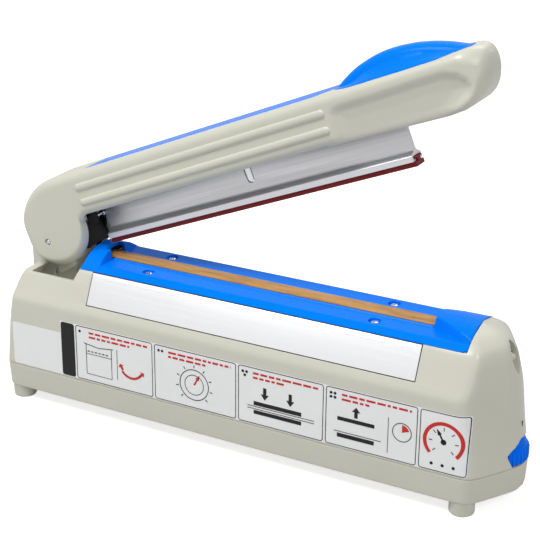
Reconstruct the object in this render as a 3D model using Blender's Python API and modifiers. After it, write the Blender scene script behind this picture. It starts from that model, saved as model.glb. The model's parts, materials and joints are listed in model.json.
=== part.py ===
# Hand impulse bag sealer: base with a sealing bed, sprung pressing arm, rocking bar and timer dial.
# Lengths are in metres. X runs from the hinge end to the nose, Y across, Z up from the feet.
# The base is drawn from its rear end and the arm from its hinge; empties place both.

import math

import bmesh
import bpy
from mathutils import Matrix, Vector

# Base
base_length = 0.3214
base_half_width = 0.0360
foot_height = 0.0083
foot_radius = 0.00707
foot_inset_rear = 0.0073
foot_inset_nose = 0.0226
foot_side_inset = 0.0083
pan_height = 0.0157
pan_draft = 0.0007
body_height = 0.0763
rear_lean = 0.0139
nose_lean = 0.0261
corner_radius = 0.0040
wall = 0.0022
shoulder_wall = 0.0042
floor_wall = 0.0020
seam = 0.0003
running = 0.00005
overrun = 0.0100

# Pocket under the arm's bulb, and the knuckle that stands in it
lip_drop = 0.0171
pocket_depth = 0.0112
pocket_front = 0.0484
pocket_half_share = 0.68056
pocket_toe = 0.0048
knuckle_radius = 0.0195
knuckle_half_width = 0.0072
knuckle_front = 0.0130

# Cover, trough and hoods
cover_start = 0.0517
cover_nose_margin = 0.0265
cover_rise = 0.0096
cover_half_share = 0.65694
cover_wall = 0.0020
trough_drop = 0.0069
platform_rise = 0.0008
platform_half_width = 0.0066
hood_rear_length = 0.0108
hood_front_length = 0.0239
hood_face_run = 0.0014
hood_notch_half_width = 0.0069
hood_notch_depth = 0.0053
deck_wall = 0.0047
nose_roof = 0.0053

# Sealing bed
bed_half_width = 0.0054
bed_height = 0.0024
wire_half_width = 0.0015
wire_thickness = 0.0003
strip_half_width = 0.00555
strip_thickness = 0.0004
strip_tuck = 0.0053
terminal_length = 0.0028
terminal_screw_radius = 0.0012
terminal_screw_height = 0.0012

# Side panels in the shoulders
panel_nose_margin = 0.0509
panel_start = 0.0615
panel_thickness = 0.0015
panel_low_drop_share = 0.3578
panel_high_drop_share = 0.12713
panel_low_half_share = 0.90278
panel_high_half_share = 0.67222

# Screws
cover_screw_radius = 0.00275
cover_screw_head = 0.0009
cover_screw_shank = 0.0014
cover_screw_length = 0.0075
cover_screw_rear_margin = 0.0415
cover_screw_front_margin = 0.0566
cover_screw_side_share = 0.55391
cover_screw_recess = 0.0035
cover_recess_depth = 0.0012
pan_screw_radius = 0.0030
pan_screw_head = 0.0012
pan_screw_shank = 0.0015
pan_screw_length = 0.0220
pan_screw_rear = 0.0220
pan_screw_nose = 0.0350
pan_screw_side_rear = 0.0240
pan_screw_side_nose = 0.0170
pan_boss_radius = 0.0036
cross_slot_length = 0.0032
cross_slot_width = 0.0007
cross_slot_depth = 0.0006

# Timer dial in the nose
dial_radius = 0.01645
dial_proud = 0.0030
dial_rib_depth = 0.0006
dial_ribs = 36
dial_rim_height = 0.0067
dial_cone_height = 0.0078
dial_cone_radius = 0.0124
dial_top_height = 0.0042
dial_top_radius = 0.0080
dial_clearance = 0.0007
dial_shaft_radius = 0.0030
dial_shaft_length = 0.0260
pot_radius = 0.0085
pot_height = 0.0085
pot_bush_radius = 0.0045
pot_bush_height = 0.0040

# Lamp in the nose
lamp_drop = 0.0172
lamp_height = 0.0178
lamp_width = 0.0066
lamp_set_back = 0.0097
lamp_block = 0.0090
lens_radius = 0.0024
lens_proud = 0.0012

# Cord gland in the rear end
gland_height = 0.0400
gland_side_share = 0.5
gland_radius = 0.0072
gland_flange = 0.0016
gland_neck_radius = 0.0054
gland_neck_length = 0.0060
gland_bore_radius = 0.0033

# Electrical parts inside
core_start_share = 0.249
core_length = 0.0580
core_height = 0.0494
core_half_depth = 0.0120
core_limb = 0.0095
coil_half_depth = 0.0260
board_nose_margin = 0.0414
board_length = 0.0900
board_half_width = 0.0260
board_thickness = 0.0016
board_height = 0.0117
standoff_radius = 0.0030
standoff_inset = 0.0060
switch_length = 0.0280
switch_height = 0.0160
switch_half_width = 0.0045
switch_start = 0.0060

# Hinge and arm angles
hinge_from_rear = 0.0236
hinge_rise = 0.0002
hinge_pin_radius = 0.0025
hinge_pin_half = 0.0120
hinge_screw_radius = 0.0018
hinge_screw_head = 0.0012
hinge_screw_shank = 0.0012
rest_angle = math.radians(22.6)
closing_angle = math.radians(19.22)
bar_rest_tilt = math.radians(0.76)

# Arm shell
arm_half_width = 0.0170
arm_wall = 0.0022
arm_edge_radius = 0.0050
bulb_along = 0.0063
bulb_up = 0.0052
bulb_long_radius = 0.0228
bulb_tall_radius = 0.0219
bulb_fillet = 0.0069
crown_along = 0.0172
crown_rise = 0.0322
arm_overhang = 0.0092
arm_low_start = 0.0086
arm_low_end = 0.0080
arm_tip_run = 0.0118
arm_roof = 0.0040
slot_half_width = 0.0094
cavity_half_width = 0.0148
cavity_grip_half_width = 0.0116
cavity_start = 0.0310
cavity_end_wall = 0.0080
rib_gap = 0.0026
rib_start = 0.0353
rib_half_height = 0.0022
rib_proud = 0.0012
rib_upper = 0.0262
rib_lower = 0.0170
recess_tip_margin = 0.0098
recess_length = 0.0842
recess_top = 0.0295
recess_depth = 0.0030

# Arm inlay and grip insert
inlay_start = 0.0440
inlay_gap = 0.0040
inlay_half_width = 0.0130
inlay_crown = 0.0008
inlay_sink = 0.0014
grip_tip_margin = 0.0090
grip_length = 0.0770
grip_half_width = 0.0135
grip_rise = 0.0079

# Arm frame
frame_half_width = 0.0091
frame_sheet = 0.0015
frame_cheek_radius = 0.0206
frame_low = 0.0120
frame_tip_margin = 0.0420
frame_step = 0.0200
frame_front = 0.0245
frame_front_low = 0.0110
frame_front_high = 0.0026
ear_start = 0.0305
ear_length = 0.0075
ear_low = 0.0025

# Finger under the bulb and the switch lever that it moves
finger_rear = 0.0033
finger_length = 0.0135
finger_drop = 0.0211
finger_slant = 0.0023
finger_root = 0.0120
finger_inner = 0.0098
finger_outer = 0.0125
lever_from_rear = 0.0255
lever_length = 0.0215
lever_sheet = 0.0012
lever_hub_radius = 0.0011
lever_inner = 0.0092
lever_outer = 0.0122
lever_turn = math.radians(15.0)

# Pressure bar
bar_axis_share = 0.46743
bar_axis_up = 0.0017
bar_rear_clearance = 0.0032
bar_front_clearance = 0.0007
bar_flange_half = 0.0060
bar_flange_height = 0.0035
bar_flare_height = 0.0025
bar_web_half = 0.0015
bar_height = 0.0360
bar_mouth_half = 0.0020
bar_mouth_height = 0.0011
bar_slot_half = 0.0043
bar_slot_height = 0.0016
notch_radius = 0.0024
notch_flare = 0.0016
guide_radius = 0.0018
guide_half_thickness = 0.0012
silicone_half = 0.00485
silicone_height = 0.0025
silicone_neck_half = 0.0017
silicone_flange_half = 0.0040
silicone_flange_height = 0.0010
silicone_reach = 0.0010

# Return spring
wire_radius = 0.00045
coil_radius = 0.0027
coil_turns = 7
coil_pitch = 0.00145
points_a_turn = 10
spring_pin_radius = 0.0009
hook_radius = 0.00165
hook_points = 10
hook_open = -130
hook_close = 80
spring_base_along = 0.0116
spring_base_up = 0.0127
spring_arm_along = 0.0344
spring_arm_up = 0.0063
spring_slot_half = 0.0014
spring_slot_radius = 0.0031

# Places that follow from the sizes above
overall_length = gland_flange + seam + base_length + dial_proud
parting = foot_height + pan_height
crown = parting + body_height
pocket_half_width = pocket_half_share * base_half_width
cover_half_width = cover_half_share * base_half_width
cover_screw_side = cover_screw_side_share * cover_half_width
panel_low_half = panel_low_half_share * base_half_width
panel_high_half = panel_high_half_share * base_half_width
panel_low_drop = panel_low_drop_share * body_height
panel_high_drop = panel_high_drop_share * body_height
seat = crown - cover_rise
lip = crown - lip_drop
pocket_floor = lip - pocket_depth
cover_end = base_length - cover_nose_margin
cover_length = cover_end - cover_start
cover_screw_first = cover_start + cover_screw_rear_margin
cover_screw_pitch = cover_end - cover_screw_front_margin - cover_screw_first
panel_length = base_length - panel_nose_margin - panel_start
gland_side = gland_side_share * base_half_width
core_start = core_start_share * base_length
board_start = base_length - board_nose_margin - board_length
trough = crown - trough_drop
hood_rear_end = cover_start + hood_rear_length
hood_front_start = cover_end - hood_front_length
dial_from_rear = base_length + dial_proud - dial_radius
dial_low = parting + seam
arm_top = bulb_up + crown_rise
hinge_height = crown + hinge_rise
strip_low = seat + seam + bed_height + seam + wire_thickness + seam
strip_top = strip_low + strip_thickness
closed_angle = rest_angle - closing_angle
arm_length = base_length - hinge_from_rear + arm_overhang
grip_begin = arm_length - grip_tip_margin - grip_length
inlay_length = grip_begin - inlay_gap - inlay_start
recess_begin = arm_length - recess_tip_margin - recess_length
rib_length = recess_begin - rib_gap - rib_start
frame_end = arm_length - frame_tip_margin
bar_axis_along = bar_axis_share * arm_length
axis_rise = bar_axis_along * math.sin(closed_angle) + bar_axis_up * math.cos(closed_angle)
bar_hang = hinge_height + axis_rise - strip_top - seam
strip_start = hood_rear_end - strip_tuck
strip_end = hood_front_start
axis_along = bar_axis_along * math.cos(closed_angle) - bar_axis_up * math.sin(closed_angle)
axis_from_rear = hinge_from_rear + axis_along
bar_rear_reach = axis_from_rear - strip_start - bar_rear_clearance
bar_room = silicone_reach + bar_front_clearance
bar_front_reach = hood_front_start - hood_face_run - bar_room - axis_from_rear

# Outline of the housing: height, half width, rear lean, nose lean and nose run, as shares
housing_shares = [
    (0.000, 1.000, 0.000, 0.000, 0.74),
    (0.367, 0.986, 0.000, 0.088, 0.74),
    (0.577, 0.978, 0.165, 0.169, 0.72),
    (0.642, 0.903, 0.388, 0.211, 0.68),
    (0.721, 0.822, 0.727, 0.268, 0.66),
    (0.799, 0.744, 1.122, 0.330, 0.64),
    (0.878, 0.657, 1.500, 0.444, 0.62),
    (0.899, 0.592, 1.600, 0.498, 0.62),
    (0.931, 0.494, 1.750, 0.598, 0.62),
    (0.962, 0.381, 1.900, 0.780, 0.62),
    (0.983, 0.269, 2.000, 0.940, 0.62),
    (0.995, 0.156, 2.050, 0.985, 0.60),
    (1.000, 0.060, 2.100, 1.000, 0.60),
]
# Nose outline in plan: share of the nose run, share of the half width
nose_shares = [
    (0.000, 1.000),
    (0.158, 0.992),
    (0.289, 0.945),
    (0.383, 0.862),
    (0.447, 0.786),
    (0.628, 0.553),
    (0.786, 0.353),
    (0.917, 0.175),
    (0.981, 0.075),
    (1.000, 0.000),
]
# Cover section: share of the half width, share of the rise, for the arch, the trough and the front ramp
arch_shares = [
    (1.0, 0.0),
    (0.90, 0.18),
    (0.78, 0.38),
    (0.66, 0.55),
    (0.53, 0.72),
    (0.40, 0.86),
    (0.23, 0.96),
    (0.0, 1.0),
]
platform_share = platform_half_width / cover_half_width
platform_edge_share = 0.001
trough_shares = [
    (1.0, 0.0),
    (0.90, 0.14),
    (0.80, 0.26),
    (0.66, 0.26),
    (0.45, 0.26),
    (platform_share + platform_edge_share, 0.26),
    (platform_share, 0.345),
    (0.0, 0.345),
]
ramp_shares = [
    (1.0, 0.0),
    (0.90, 0.14),
    (0.80, 0.26),
    (platform_share + 0.06, 0.26),
    (platform_share + 0.03, 0.74),
    (platform_share - 0.01, 0.90),
    (platform_share / 2, 0.98),
    (0.0, 1.0),
]
# Tip of the arm: share of the tip run, shares of the tip's height for its lower and upper edge
tip_shares = [
    (0.000, 0.055, 1.00),
    (0.240, 0.070, 1.00),
    (0.540, 0.120, 0.96),
    (0.750, 0.190, 0.90),
    (0.900, 0.270, 0.82),
    (0.975, 0.340, 0.74),
    (1.000, 0.420, 0.64),
]
# Grip insert: share of its length, share of its half width, share of its rise
grip_shares = [
    (0.00, 0.03, 0.02),
    (0.06, 0.22, 0.18),
    (0.15, 0.50, 0.46),
    (0.29, 0.80, 0.80),
    (0.42, 0.95, 0.97),
    (0.52, 1.00, 1.00),
    (0.64, 1.00, 0.88),
    (0.76, 0.96, 0.62),
    (0.88, 0.86, 0.30),
    (0.96, 0.66, 0.08),
    (1.00, 0.42, 0.02),
]
# Thumb recess: share of its length, share of its height
recess_shares = [
    (0.000, 0.87),
    (0.020, 0.97),
    (0.072, 1.00),
    (0.600, 1.00),
    (0.820, 0.93),
    (0.930, 0.74),
    (0.990, 0.45),
    (0.995, 0.25),
    (0.930, 0.00),
    (0.780, -0.30),
    (0.000, -0.30),
]

# How far the lamp's eye-shaped seat closes at its ends
blunt_share = 0.90

sides = (("near", -1), ("far", 1))


# Scene helpers


def clear_scene():
    for obj in list(bpy.data.objects):
        bpy.data.objects.remove(obj, do_unlink=True)


def new_collection(name):
    collection = bpy.data.collections.new(name)
    bpy.context.scene.collection.children.link(collection)
    return collection


def material(name, color, roughness, metallic=0.0):
    made = bpy.data.materials.new(name)
    made.use_nodes = True
    shader = made.node_tree.nodes["Principled BSDF"]
    shader.inputs["Base Color"].default_value = (*color, 1.0)
    shader.inputs["Roughness"].default_value = roughness
    shader.inputs["Metallic"].default_value = metallic
    made.diffuse_color = (*color, 1.0)
    return made


def empty(name, parent, place, turn=0.0):
    obj = bpy.data.objects.new(name, None)
    parts.objects.link(obj)
    obj.parent = parent
    obj.location = place
    obj.rotation_euler = (0, turn, 0)
    return obj


def mesh_object(name, bm):
    bmesh.ops.recalc_face_normals(bm, faces=bm.faces)
    mesh = bpy.data.meshes.new(name)
    bm.to_mesh(mesh)
    bm.free()
    obj = bpy.data.objects.new(name, mesh)
    cutters.objects.link(obj)
    obj.hide_render = True
    obj.display_type = "WIRE"
    return obj


def box(name, low, high):
    bm = bmesh.new()
    bmesh.ops.create_cube(bm, size=1.0)
    size = Vector(high) - Vector(low)
    middle = (Vector(high) + Vector(low)) / 2
    bmesh.ops.transform(bm, matrix=Matrix.LocRotScale(middle, None, size), verts=bm.verts)
    return mesh_object(name, bm)


def rod(name, radius, start, length, axis="Z", tip_radius=None, segments=24):
    """A cylinder, or a cone with tip_radius, from start along an axis."""
    bm = bmesh.new()
    top = radius if tip_radius is None else tip_radius
    bmesh.ops.create_cone(bm, cap_ends=True, segments=segments, radius1=radius, radius2=top, depth=length)
    turns = {
        "X": Matrix.Rotation(math.pi / 2, 4, "Y"),
        "Y": Matrix.Rotation(-math.pi / 2, 4, "X"),
        "Z": Matrix.Identity(4),
    }
    half = turns[axis] @ Vector((0, 0, length / 2))
    place = Matrix.Translation(Vector(start) + half)
    bmesh.ops.transform(bm, matrix=place @ turns[axis], verts=bm.verts)
    return mesh_object(name, bm)


def prism(name, outline, low, high, plane="XZ"):
    """A flat outline, drawn in a plane, given a thickness from low to high along the third axis."""
    curve = bpy.data.curves.new(name, "CURVE")
    curve.dimensions = "2D"
    curve.fill_mode = "BOTH"
    curve.extrude = (high - low) / 2
    for loop in outline if isinstance(outline[0], list) else [outline]:
        spline = curve.splines.new("POLY")
        spline.points.add(len(loop) - 1)
        for point, (across, up) in zip(spline.points, loop):
            point.co = (across, up, 0, 1)
        spline.use_cyclic_u = True
    flat = bpy.data.objects.new(name + "_outline", curve)
    cutters.objects.link(flat)
    bpy.context.view_layer.update()
    graph = bpy.context.evaluated_depsgraph_get()
    mesh = bpy.data.meshes.new_from_object(flat.evaluated_get(graph))
    bpy.data.objects.remove(flat, do_unlink=True)
    bm = bmesh.new()
    bm.from_mesh(mesh)
    bpy.data.meshes.remove(mesh)
    bmesh.ops.remove_doubles(bm, verts=bm.verts, dist=seam / 100)
    middle = (low + high) / 2
    if plane == "XZ":
        turn = Matrix.Translation((0, middle, 0)) @ Matrix.Rotation(math.pi / 2, 4, "X")
    elif plane == "YZ":
        turn = Matrix.Translation((middle, 0, 0)) @ Matrix.Rotation(math.pi / 2, 4, "Z") @ Matrix.Rotation(math.pi / 2, 4, "X")
    else:
        turn = Matrix.Translation((0, 0, middle))
    bmesh.ops.transform(bm, matrix=turn, verts=bm.verts)
    return mesh_object(name, bm)


def loft(name, rings):
    """Faces between rings of the same number of points, closed at both ends."""
    bm = bmesh.new()
    rows = [[bm.verts.new(point) for point in ring] for ring in rings]
    for lower, upper in zip(rows, rows[1:]):
        for index in range(len(lower)):
            after = (index + 1) % len(lower)
            bm.faces.new((lower[index], lower[after], upper[after], upper[index]))
    bm.faces.new(list(reversed(rows[0])))
    bm.faces.new(rows[-1])
    return mesh_object(name, bm)


def turned(name, profile, centre, steps=48):
    """A profile of radius and height, turned about a vertical axis through centre."""
    mesh = bpy.data.meshes.new(name)
    points = [(radius, 0, height) for radius, height in profile]
    mesh.from_pydata(points, [(index, index + 1) for index in range(len(points) - 1)], [])
    obj = bpy.data.objects.new(name, mesh)
    cutters.objects.link(obj)
    obj.location = centre
    obj.hide_render = True
    obj.display_type = "WIRE"
    screw = obj.modifiers.new("turn", "SCREW")
    screw.steps = steps
    screw.render_steps = steps
    screw.use_merge_vertices = True
    screw.merge_threshold = seam / 10
    return obj


def change(target, tool, operation="DIFFERENCE"):
    boolean = target.modifiers.new(tool.name, "BOOLEAN")
    boolean.operation = operation
    boolean.solver = "EXACT"
    boolean.object = tool


def place_tools(obj, parent):
    """The tools that shape a piece are drawn in the same frame as the piece."""
    for modifier in obj.modifiers:
        if modifier.type == "BOOLEAN":
            modifier.object.parent = parent
            place_tools(modifier.object, parent)


def finish(obj, name, surface, parent, smooth=None):
    """Makes a mesh a piece of the object, under its own name and material."""
    obj.name = name
    obj.data.name = name
    cutters.objects.unlink(obj)
    parts.objects.link(obj)
    obj.hide_render = False
    obj.display_type = "TEXTURED"
    obj.parent = parent
    place_tools(obj, parent)
    obj.data.materials.clear()
    obj.data.materials.append(surface)
    if smooth and obj.data.polygons:
        obj.data.shade_smooth()
        obj.data.set_sharp_from_angle(angle=math.radians(smooth))
    return obj


def arc(centre, radius, start, end, steps, tall=None):
    """Points on a circle, or on an ellipse with its own height, from one angle in degrees to another."""
    points = []
    for step in range(steps + 1):
        angle = math.radians(start + (end - start) * step / steps)
        points.append((centre[0] + radius * math.cos(angle), centre[1] + (tall or radius) * math.sin(angle)))
    return points


# Base


def shares_at(height):
    share = (height - parting) / body_height
    share = min(max(share, 0.0), 1.0)
    for low, high in zip(housing_shares, housing_shares[1:]):
        if share <= high[0]:
            part = (share - low[0]) / (high[0] - low[0])
            return [a + (b - a) * part for a, b in zip(low, high)]
    return list(housing_shares[-1])


def plan_ring(height, side_in=0.0, end_in=0.0, rear=None, at=None):
    """One level outline of the base, drawn in by a wall at its sides and ends."""
    _, half_share, rear_share, nose_share, run_share = shares_at(height if at is None else at)
    half = half_share * base_half_width - side_in
    back = rear_share * rear_lean + end_in if rear is None else rear
    tip = base_length - nose_share * nose_lean - end_in
    run = min(run_share * half, (tip - back) * 0.9)
    radius = min(corner_radius, half * 0.8, (tip - run - back) * 0.8)
    lower = arc((back + radius, -half + radius), radius, 180, 270, 4)
    lower += [(tip - run + along * run, -half * across) for along, across in nose_shares]
    upper = [(x, -y) for x, y in reversed(lower[:-1])]
    return [(x, y, height) for x, y in lower + upper]


def seat_cutter():
    """Clears the top for the pocket's lips and for the cover."""
    top = crown + overrun
    outline = [
        (-overrun, lip),
        (pocket_front, lip),
        (cover_start - seam, seat),
        (cover_end + seam, seat),
        (cover_end + seam, top),
        (-overrun, top),
    ]
    return prism("cover_seat_cut", outline, -base_half_width - overrun, base_half_width + overrun)


def pocket_cutter():
    rear = rear_lean + wall
    outline = [
        (rear, lip + overrun),
        (rear, lip),
        (rear - pocket_toe, pocket_floor + pocket_toe),
        (rear - pocket_toe, pocket_floor),
        (pocket_front, pocket_floor),
        (pocket_front, lip + overrun),
    ]
    return prism("pocket_cut", outline, -pocket_half_width, pocket_half_width)


def folds_between(low, high):
    """The heights of the housing's folds that lie between two levels."""
    folds = [parting + share[0] * body_height for share in housing_shares]
    return [fold for fold in folds if low + seam < fold < high - seam]


def cavity_cutters():
    under_pocket = pocket_floor - wall
    under_deck = seat - deck_wall
    front_of_pocket = pocket_front + 2 * wall
    nose_top = crown - nose_roof
    low_levels = [parting - overrun] + folds_between(parting, under_pocket) + [under_pocket]
    low = loft("lower_cavity", [plan_ring(z, wall, wall) for z in low_levels])
    middle_levels = [under_pocket - wall, under_pocket] + folds_between(under_pocket, under_deck) + [under_deck]
    middle = loft("upper_cavity", [plan_ring(z, shoulder_wall, wall, front_of_pocket) for z in middle_levels])
    behind_nose = cover_end + seam + wall
    nose_levels = [under_deck - wall] + folds_between(under_deck, nose_top) + [nose_top]
    nose = loft("nose_cavity", [plan_ring(z, wall, wall, behind_nose) for z in nose_levels])
    return low, middle, nose


def knuckle_outline(grow=0.0):
    """The knuckle's side view: a disc about the hinge on an upright post."""
    radius = knuckle_radius + grow
    end = -math.degrees(math.acos(knuckle_front / knuckle_radius))
    points = arc((hinge_from_rear, hinge_height), radius, 180, end, 26)
    low = pocket_floor - wall / 2
    points += [(hinge_from_rear + knuckle_front + grow, low), (hinge_from_rear - radius, low)]
    return points


def spindle(centre, width, height, steps=10):
    """An eye-shaped outline that is nearly pointed at both ends."""
    points = []
    for side in (1, -1):
        for step in range(steps + 1):
            share = side * (-1 + 2 * step / steps)
            across = width / 2 * (1 - blunt_share * share * share)
            points.append((centre[0] + side * across, centre[1] + height / 2 * share))
    return points


def panel_matrix(side, depth):
    """Axes of a side panel: origin at its lower edge, sunk by depth below the shoulder."""
    low = Vector((panel_start, side * panel_low_half, crown - panel_low_drop))
    high = Vector((panel_start, side * panel_high_half, crown - panel_high_drop))
    up = (high - low).normalized()
    out = Vector((0, side * up.z, -side * up.y)).normalized()
    along = Vector((1, 0, 0))
    turn = Matrix((along, up, out)).transposed().to_4x4()
    return Matrix.Translation(low - out * depth) @ turn, (high - low).length


def panel_solid(name, side, grow, low, high):
    """A flat slab on a shoulder, between two depths, grown at its edges."""
    place, height = panel_matrix(side, 0.0)
    solid = box(name, (-grow, -grow, -high), (panel_length + grow, height + grow, -low))
    solid.data.transform(place)
    bm = bmesh.new()
    bm.from_mesh(solid.data)
    bmesh.ops.recalc_face_normals(bm, faces=bm.faces)
    bm.to_mesh(solid.data)
    bm.free()
    return solid


def build_housing():
    levels = [parting + seam / 2] + [parting + share[0] * body_height for share in housing_shares[1:]]
    housing = loft("base_housing", [plan_ring(z) for z in levels])
    change(housing, seat_cutter())
    for cavity in cavity_cutters():
        change(housing, cavity)
    change(housing, pocket_cutter())
    for name, side in sides:
        depth = panel_thickness + seam
        change(housing, panel_solid("panel_cut_" + name, side, seam, -overrun, depth))
    post = prism("knuckle", knuckle_outline(), -knuckle_half_width, knuckle_half_width)
    change(housing, post, "UNION")
    start = (hinge_from_rear, -base_half_width, hinge_height)
    change(housing, rod("hinge_bore", hinge_pin_radius + running, start, 2 * base_half_width, "Y"))
    place = (hinge_from_rear + spring_base_along, hinge_height + spring_base_up)
    slot = arc(place, spring_slot_radius, 90, 270, 8)
    slot += [(place[0] + knuckle_radius, slot[-1][1]), (place[0] + knuckle_radius, slot[0][1])]
    change(housing, prism("spring_slot", slot, -spring_slot_half, spring_slot_half))
    start = (place[0], -base_half_width, place[1])
    change(housing, rod("spring_pin_bore", spring_pin_radius + seam, start, 2 * base_half_width, "Y", segments=12))
    change(housing, dial_window())
    eye = spindle((0, crown - lamp_drop), lamp_width, lamp_height)
    change(housing, prism("lamp_cut", eye, base_length - nose_lean, base_length + overrun, "YZ"))
    start = (-overrun, gland_side, gland_height)
    change(housing, rod("gland_cut", gland_neck_radius + seam, start, overrun + wall + wall, "X"))
    for index, (x, y) in enumerate(cover_screw_places()):
        start = (x, y, seat - deck_wall - overrun)
        reach = deck_wall + overrun + overrun
        change(housing, rod(f"cover_screw_hole_{index + 1}", cover_screw_shank + seam, start, reach, segments=12))
    build_pan_bosses(housing)
    low, high = lever_slot()
    change(housing, box("lever_slot", low, high))
    return finish(housing, "base_housing", beige, base, 40)


def build_pan_bosses(housing):
    """Posts inside the housing that the pan screws run up into."""
    for index, (x, y) in enumerate(pan_screw_places()):
        top = pocket_floor - wall / 2 if x < pocket_front else seat - deck_wall / 2
        post = rod(f"pan_boss_{index + 1}", pan_boss_radius, (x, y, parting + seam), top - parting - seam, segments=16)
        change(housing, post, "UNION")
        start = (x, y, parting - overrun)
        hole = rod(f"pan_boss_hole_{index + 1}", pan_screw_shank + seam, start, overrun + pan_screw_length, segments=12)
        change(housing, hole)


def lever_slot():
    """Room in the pocket's floor for the switch lever as it tilts."""
    swing = lever_length * math.sin(lever_turn)
    rear = lever_from_rear - swing - lever_sheet
    front = lever_from_rear + lever_sheet + seam
    low = (rear, -lever_outer - seam, pocket_floor - wall - overrun)
    high = (front, -lever_inner + seam, pocket_floor + wall)
    return low, high


def cover_screw_places():
    return [
        (cover_screw_first + column * cover_screw_pitch, side * cover_screw_side)
        for column in (0, 1)
        for side in (-1, 1)
    ]


def pan_screw_places():
    nose = base_length - pan_screw_nose
    rows = ((pan_screw_rear, pan_screw_side_rear), (nose, pan_screw_side_nose))
    return [(x, side * across) for x, across in rows for side in (-1, 1)]


def foot_places():
    across = base_half_width - foot_side_inset
    return [(x, side * across) for x in (foot_inset_rear, base_length - foot_inset_nose) for side in (-1, 1)]


def build_pan():
    top = parting - seam / 2
    outer = [plan_ring(foot_height, pan_draft, pan_draft + pan_draft, at=parting), plan_ring(top, at=parting)]
    pan = loft("bottom_pan", outer)
    inside = foot_height + floor_wall
    change(pan, loft("pan_cavity", [plan_ring(z, wall, wall, at=parting) for z in (inside, parting + overrun)]))
    for index, (x, y) in enumerate(foot_places()):
        height = foot_height + floor_wall / 2
        change(pan, rod(f"foot_{index + 1}", foot_radius, (x, y, 0), height, segments=32), "UNION")
    for index, (x, y) in enumerate(board_places()):
        start = (x, y, inside - floor_wall / 2)
        change(pan, rod(f"standoff_{index + 1}", standoff_radius, start, board_height + floor_wall / 2, segments=12), "UNION")
    rear = switch_start
    post_low = (rear, -lever_outer, inside - floor_wall / 2)
    post_high = (rear + switch_length, -lever_inner + lever_sheet, switch_low() - seam)
    change(pan, box("switch_post", post_low, post_high), "UNION")
    for index, (x, y) in enumerate(pan_screw_places()):
        start = (x, y, foot_height - overrun)
        head_reach = overrun + pan_screw_head + seam
        change(pan, rod(f"pan_screw_recess_{index + 1}", pan_screw_radius + seam, start, head_reach, segments=20))
        reach = overrun + floor_wall + overrun
        change(pan, rod(f"pan_screw_hole_{index + 1}", pan_screw_shank + seam, start, reach, segments=12))
    return finish(pan, "bottom_pan", beige_dark, base, 40)


def cross_cut(name, head, place, direction):
    """A cross slot in a screw head's outer face."""
    for index, (long, short) in enumerate(((1, 0), (0, 1))):
        half = (
            cross_slot_length / 2 * long + cross_slot_width / 2 * short,
            cross_slot_length / 2 * short + cross_slot_width / 2 * long,
        )
        ends = sorted((place[2] - direction * cross_slot_depth, place[2] + direction * cross_slot_depth))
        low = (place[0] - half[0], place[1] - half[1], ends[0])
        high = (place[0] + half[0], place[1] + half[1], ends[1])
        change(head, box(f"{name}_slot_{index + 1}", low, high))


def build_screws():
    for index, (x, y) in enumerate(cover_screw_places()):
        name = f"cover_screw_{index + 1}"
        under_head = trough - cover_recess_depth + seam
        screw = rod(name, cover_screw_radius, (x, y, under_head), cover_screw_head, segments=20)
        sunk = cover_screw_head / 3
        shank = rod(name + "_shank", cover_screw_shank, (x, y, under_head - cover_screw_length), cover_screw_length + sunk, segments=12)
        change(screw, shank, "UNION")
        cross_cut(name, screw, (x, y, under_head + cover_screw_head), 1)
        finish(screw, name, steel, base, 40)
    for index, (x, y) in enumerate(pan_screw_places()):
        name = f"pan_screw_{index + 1}"
        screw = rod(name, pan_screw_radius, (x, y, foot_height), pan_screw_head, segments=20)
        start = (x, y, foot_height + pan_screw_head / 2)
        change(screw, rod(name + "_shank", pan_screw_shank, start, pan_screw_length, segments=12), "UNION")
        cross_cut(name, screw, (x, y, foot_height), -1)
        finish(screw, name, steel, base, 40)


def cover_section(x, shares, inner=0.0):
    """One upright section of the cover, or of the space inside it."""
    low = seat + seam
    rise = crown - low
    half = cover_half_width - inner
    right = [(x, half * across, low + max(0.0, rise * up - inner)) for across, up in shares]
    left = [(x, -y, z) for x, y, z in reversed(right[:-1])]
    return right + left


def build_cover():
    rear_face = hood_rear_end + hood_face_run
    front_face = hood_front_start - hood_face_run
    sections = [
        cover_section(cover_start, arch_shares),
        cover_section(hood_rear_end, arch_shares),
        cover_section(rear_face, trough_shares),
        cover_section(front_face, trough_shares),
        cover_section(hood_front_start, ramp_shares),
        cover_section(cover_end, arch_shares),
    ]
    cover = loft("top_cover", sections)
    low_end = hood_rear_end - cover_wall / 2
    spaces = (
        ("rear_hood_space", cover_start + cover_wall, low_end, arch_shares, arch_shares),
        ("front_hood_space", hood_front_start + cover_wall, cover_end - cover_wall, ramp_shares, arch_shares),
    )
    for name, start, end, first, last in spaces:
        rings = [cover_section(start, first, cover_wall), cover_section(end, last, cover_wall)]
        space = loft(name, rings)
        for vertex in space.data.vertices:
            if vertex.co.z < seat + seam + cover_wall / 4:
                vertex.co.z -= overrun
        change(cover, space)
    channel = bed_half_width + seam
    low = (strip_start - seam - seam, -channel, seat - overrun)
    change(cover, box("bed_channel", low, (hood_front_start + cover_wall + seam, channel, trough + cover_wall)))
    low = (hood_rear_end - hood_notch_depth, -hood_notch_half_width, trough)
    change(cover, box("hood_notch", low, (rear_face + seam, hood_notch_half_width, crown + overrun)))
    low = (front_face - seam, -platform_half_width + seam, trough + platform_rise / 2)
    high = (hood_front_start + cover_wall + seam, platform_half_width - seam, strip_top + 2 * platform_rise)
    change(cover, box("front_mouth", low, high))
    for index, (x, y) in enumerate(cover_screw_places()):
        name = f"cover_recess_{index + 1}"
        change(cover, rod(name, cover_screw_recess, (x, y, trough - cover_recess_depth), overrun, segments=24))
        start = (x, y, trough - overrun)
        change(cover, rod(name + "_hole", cover_screw_shank + seam, start, overrun + overrun, segments=12))
    return finish(cover, "top_cover", blue, base, 35)


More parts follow.
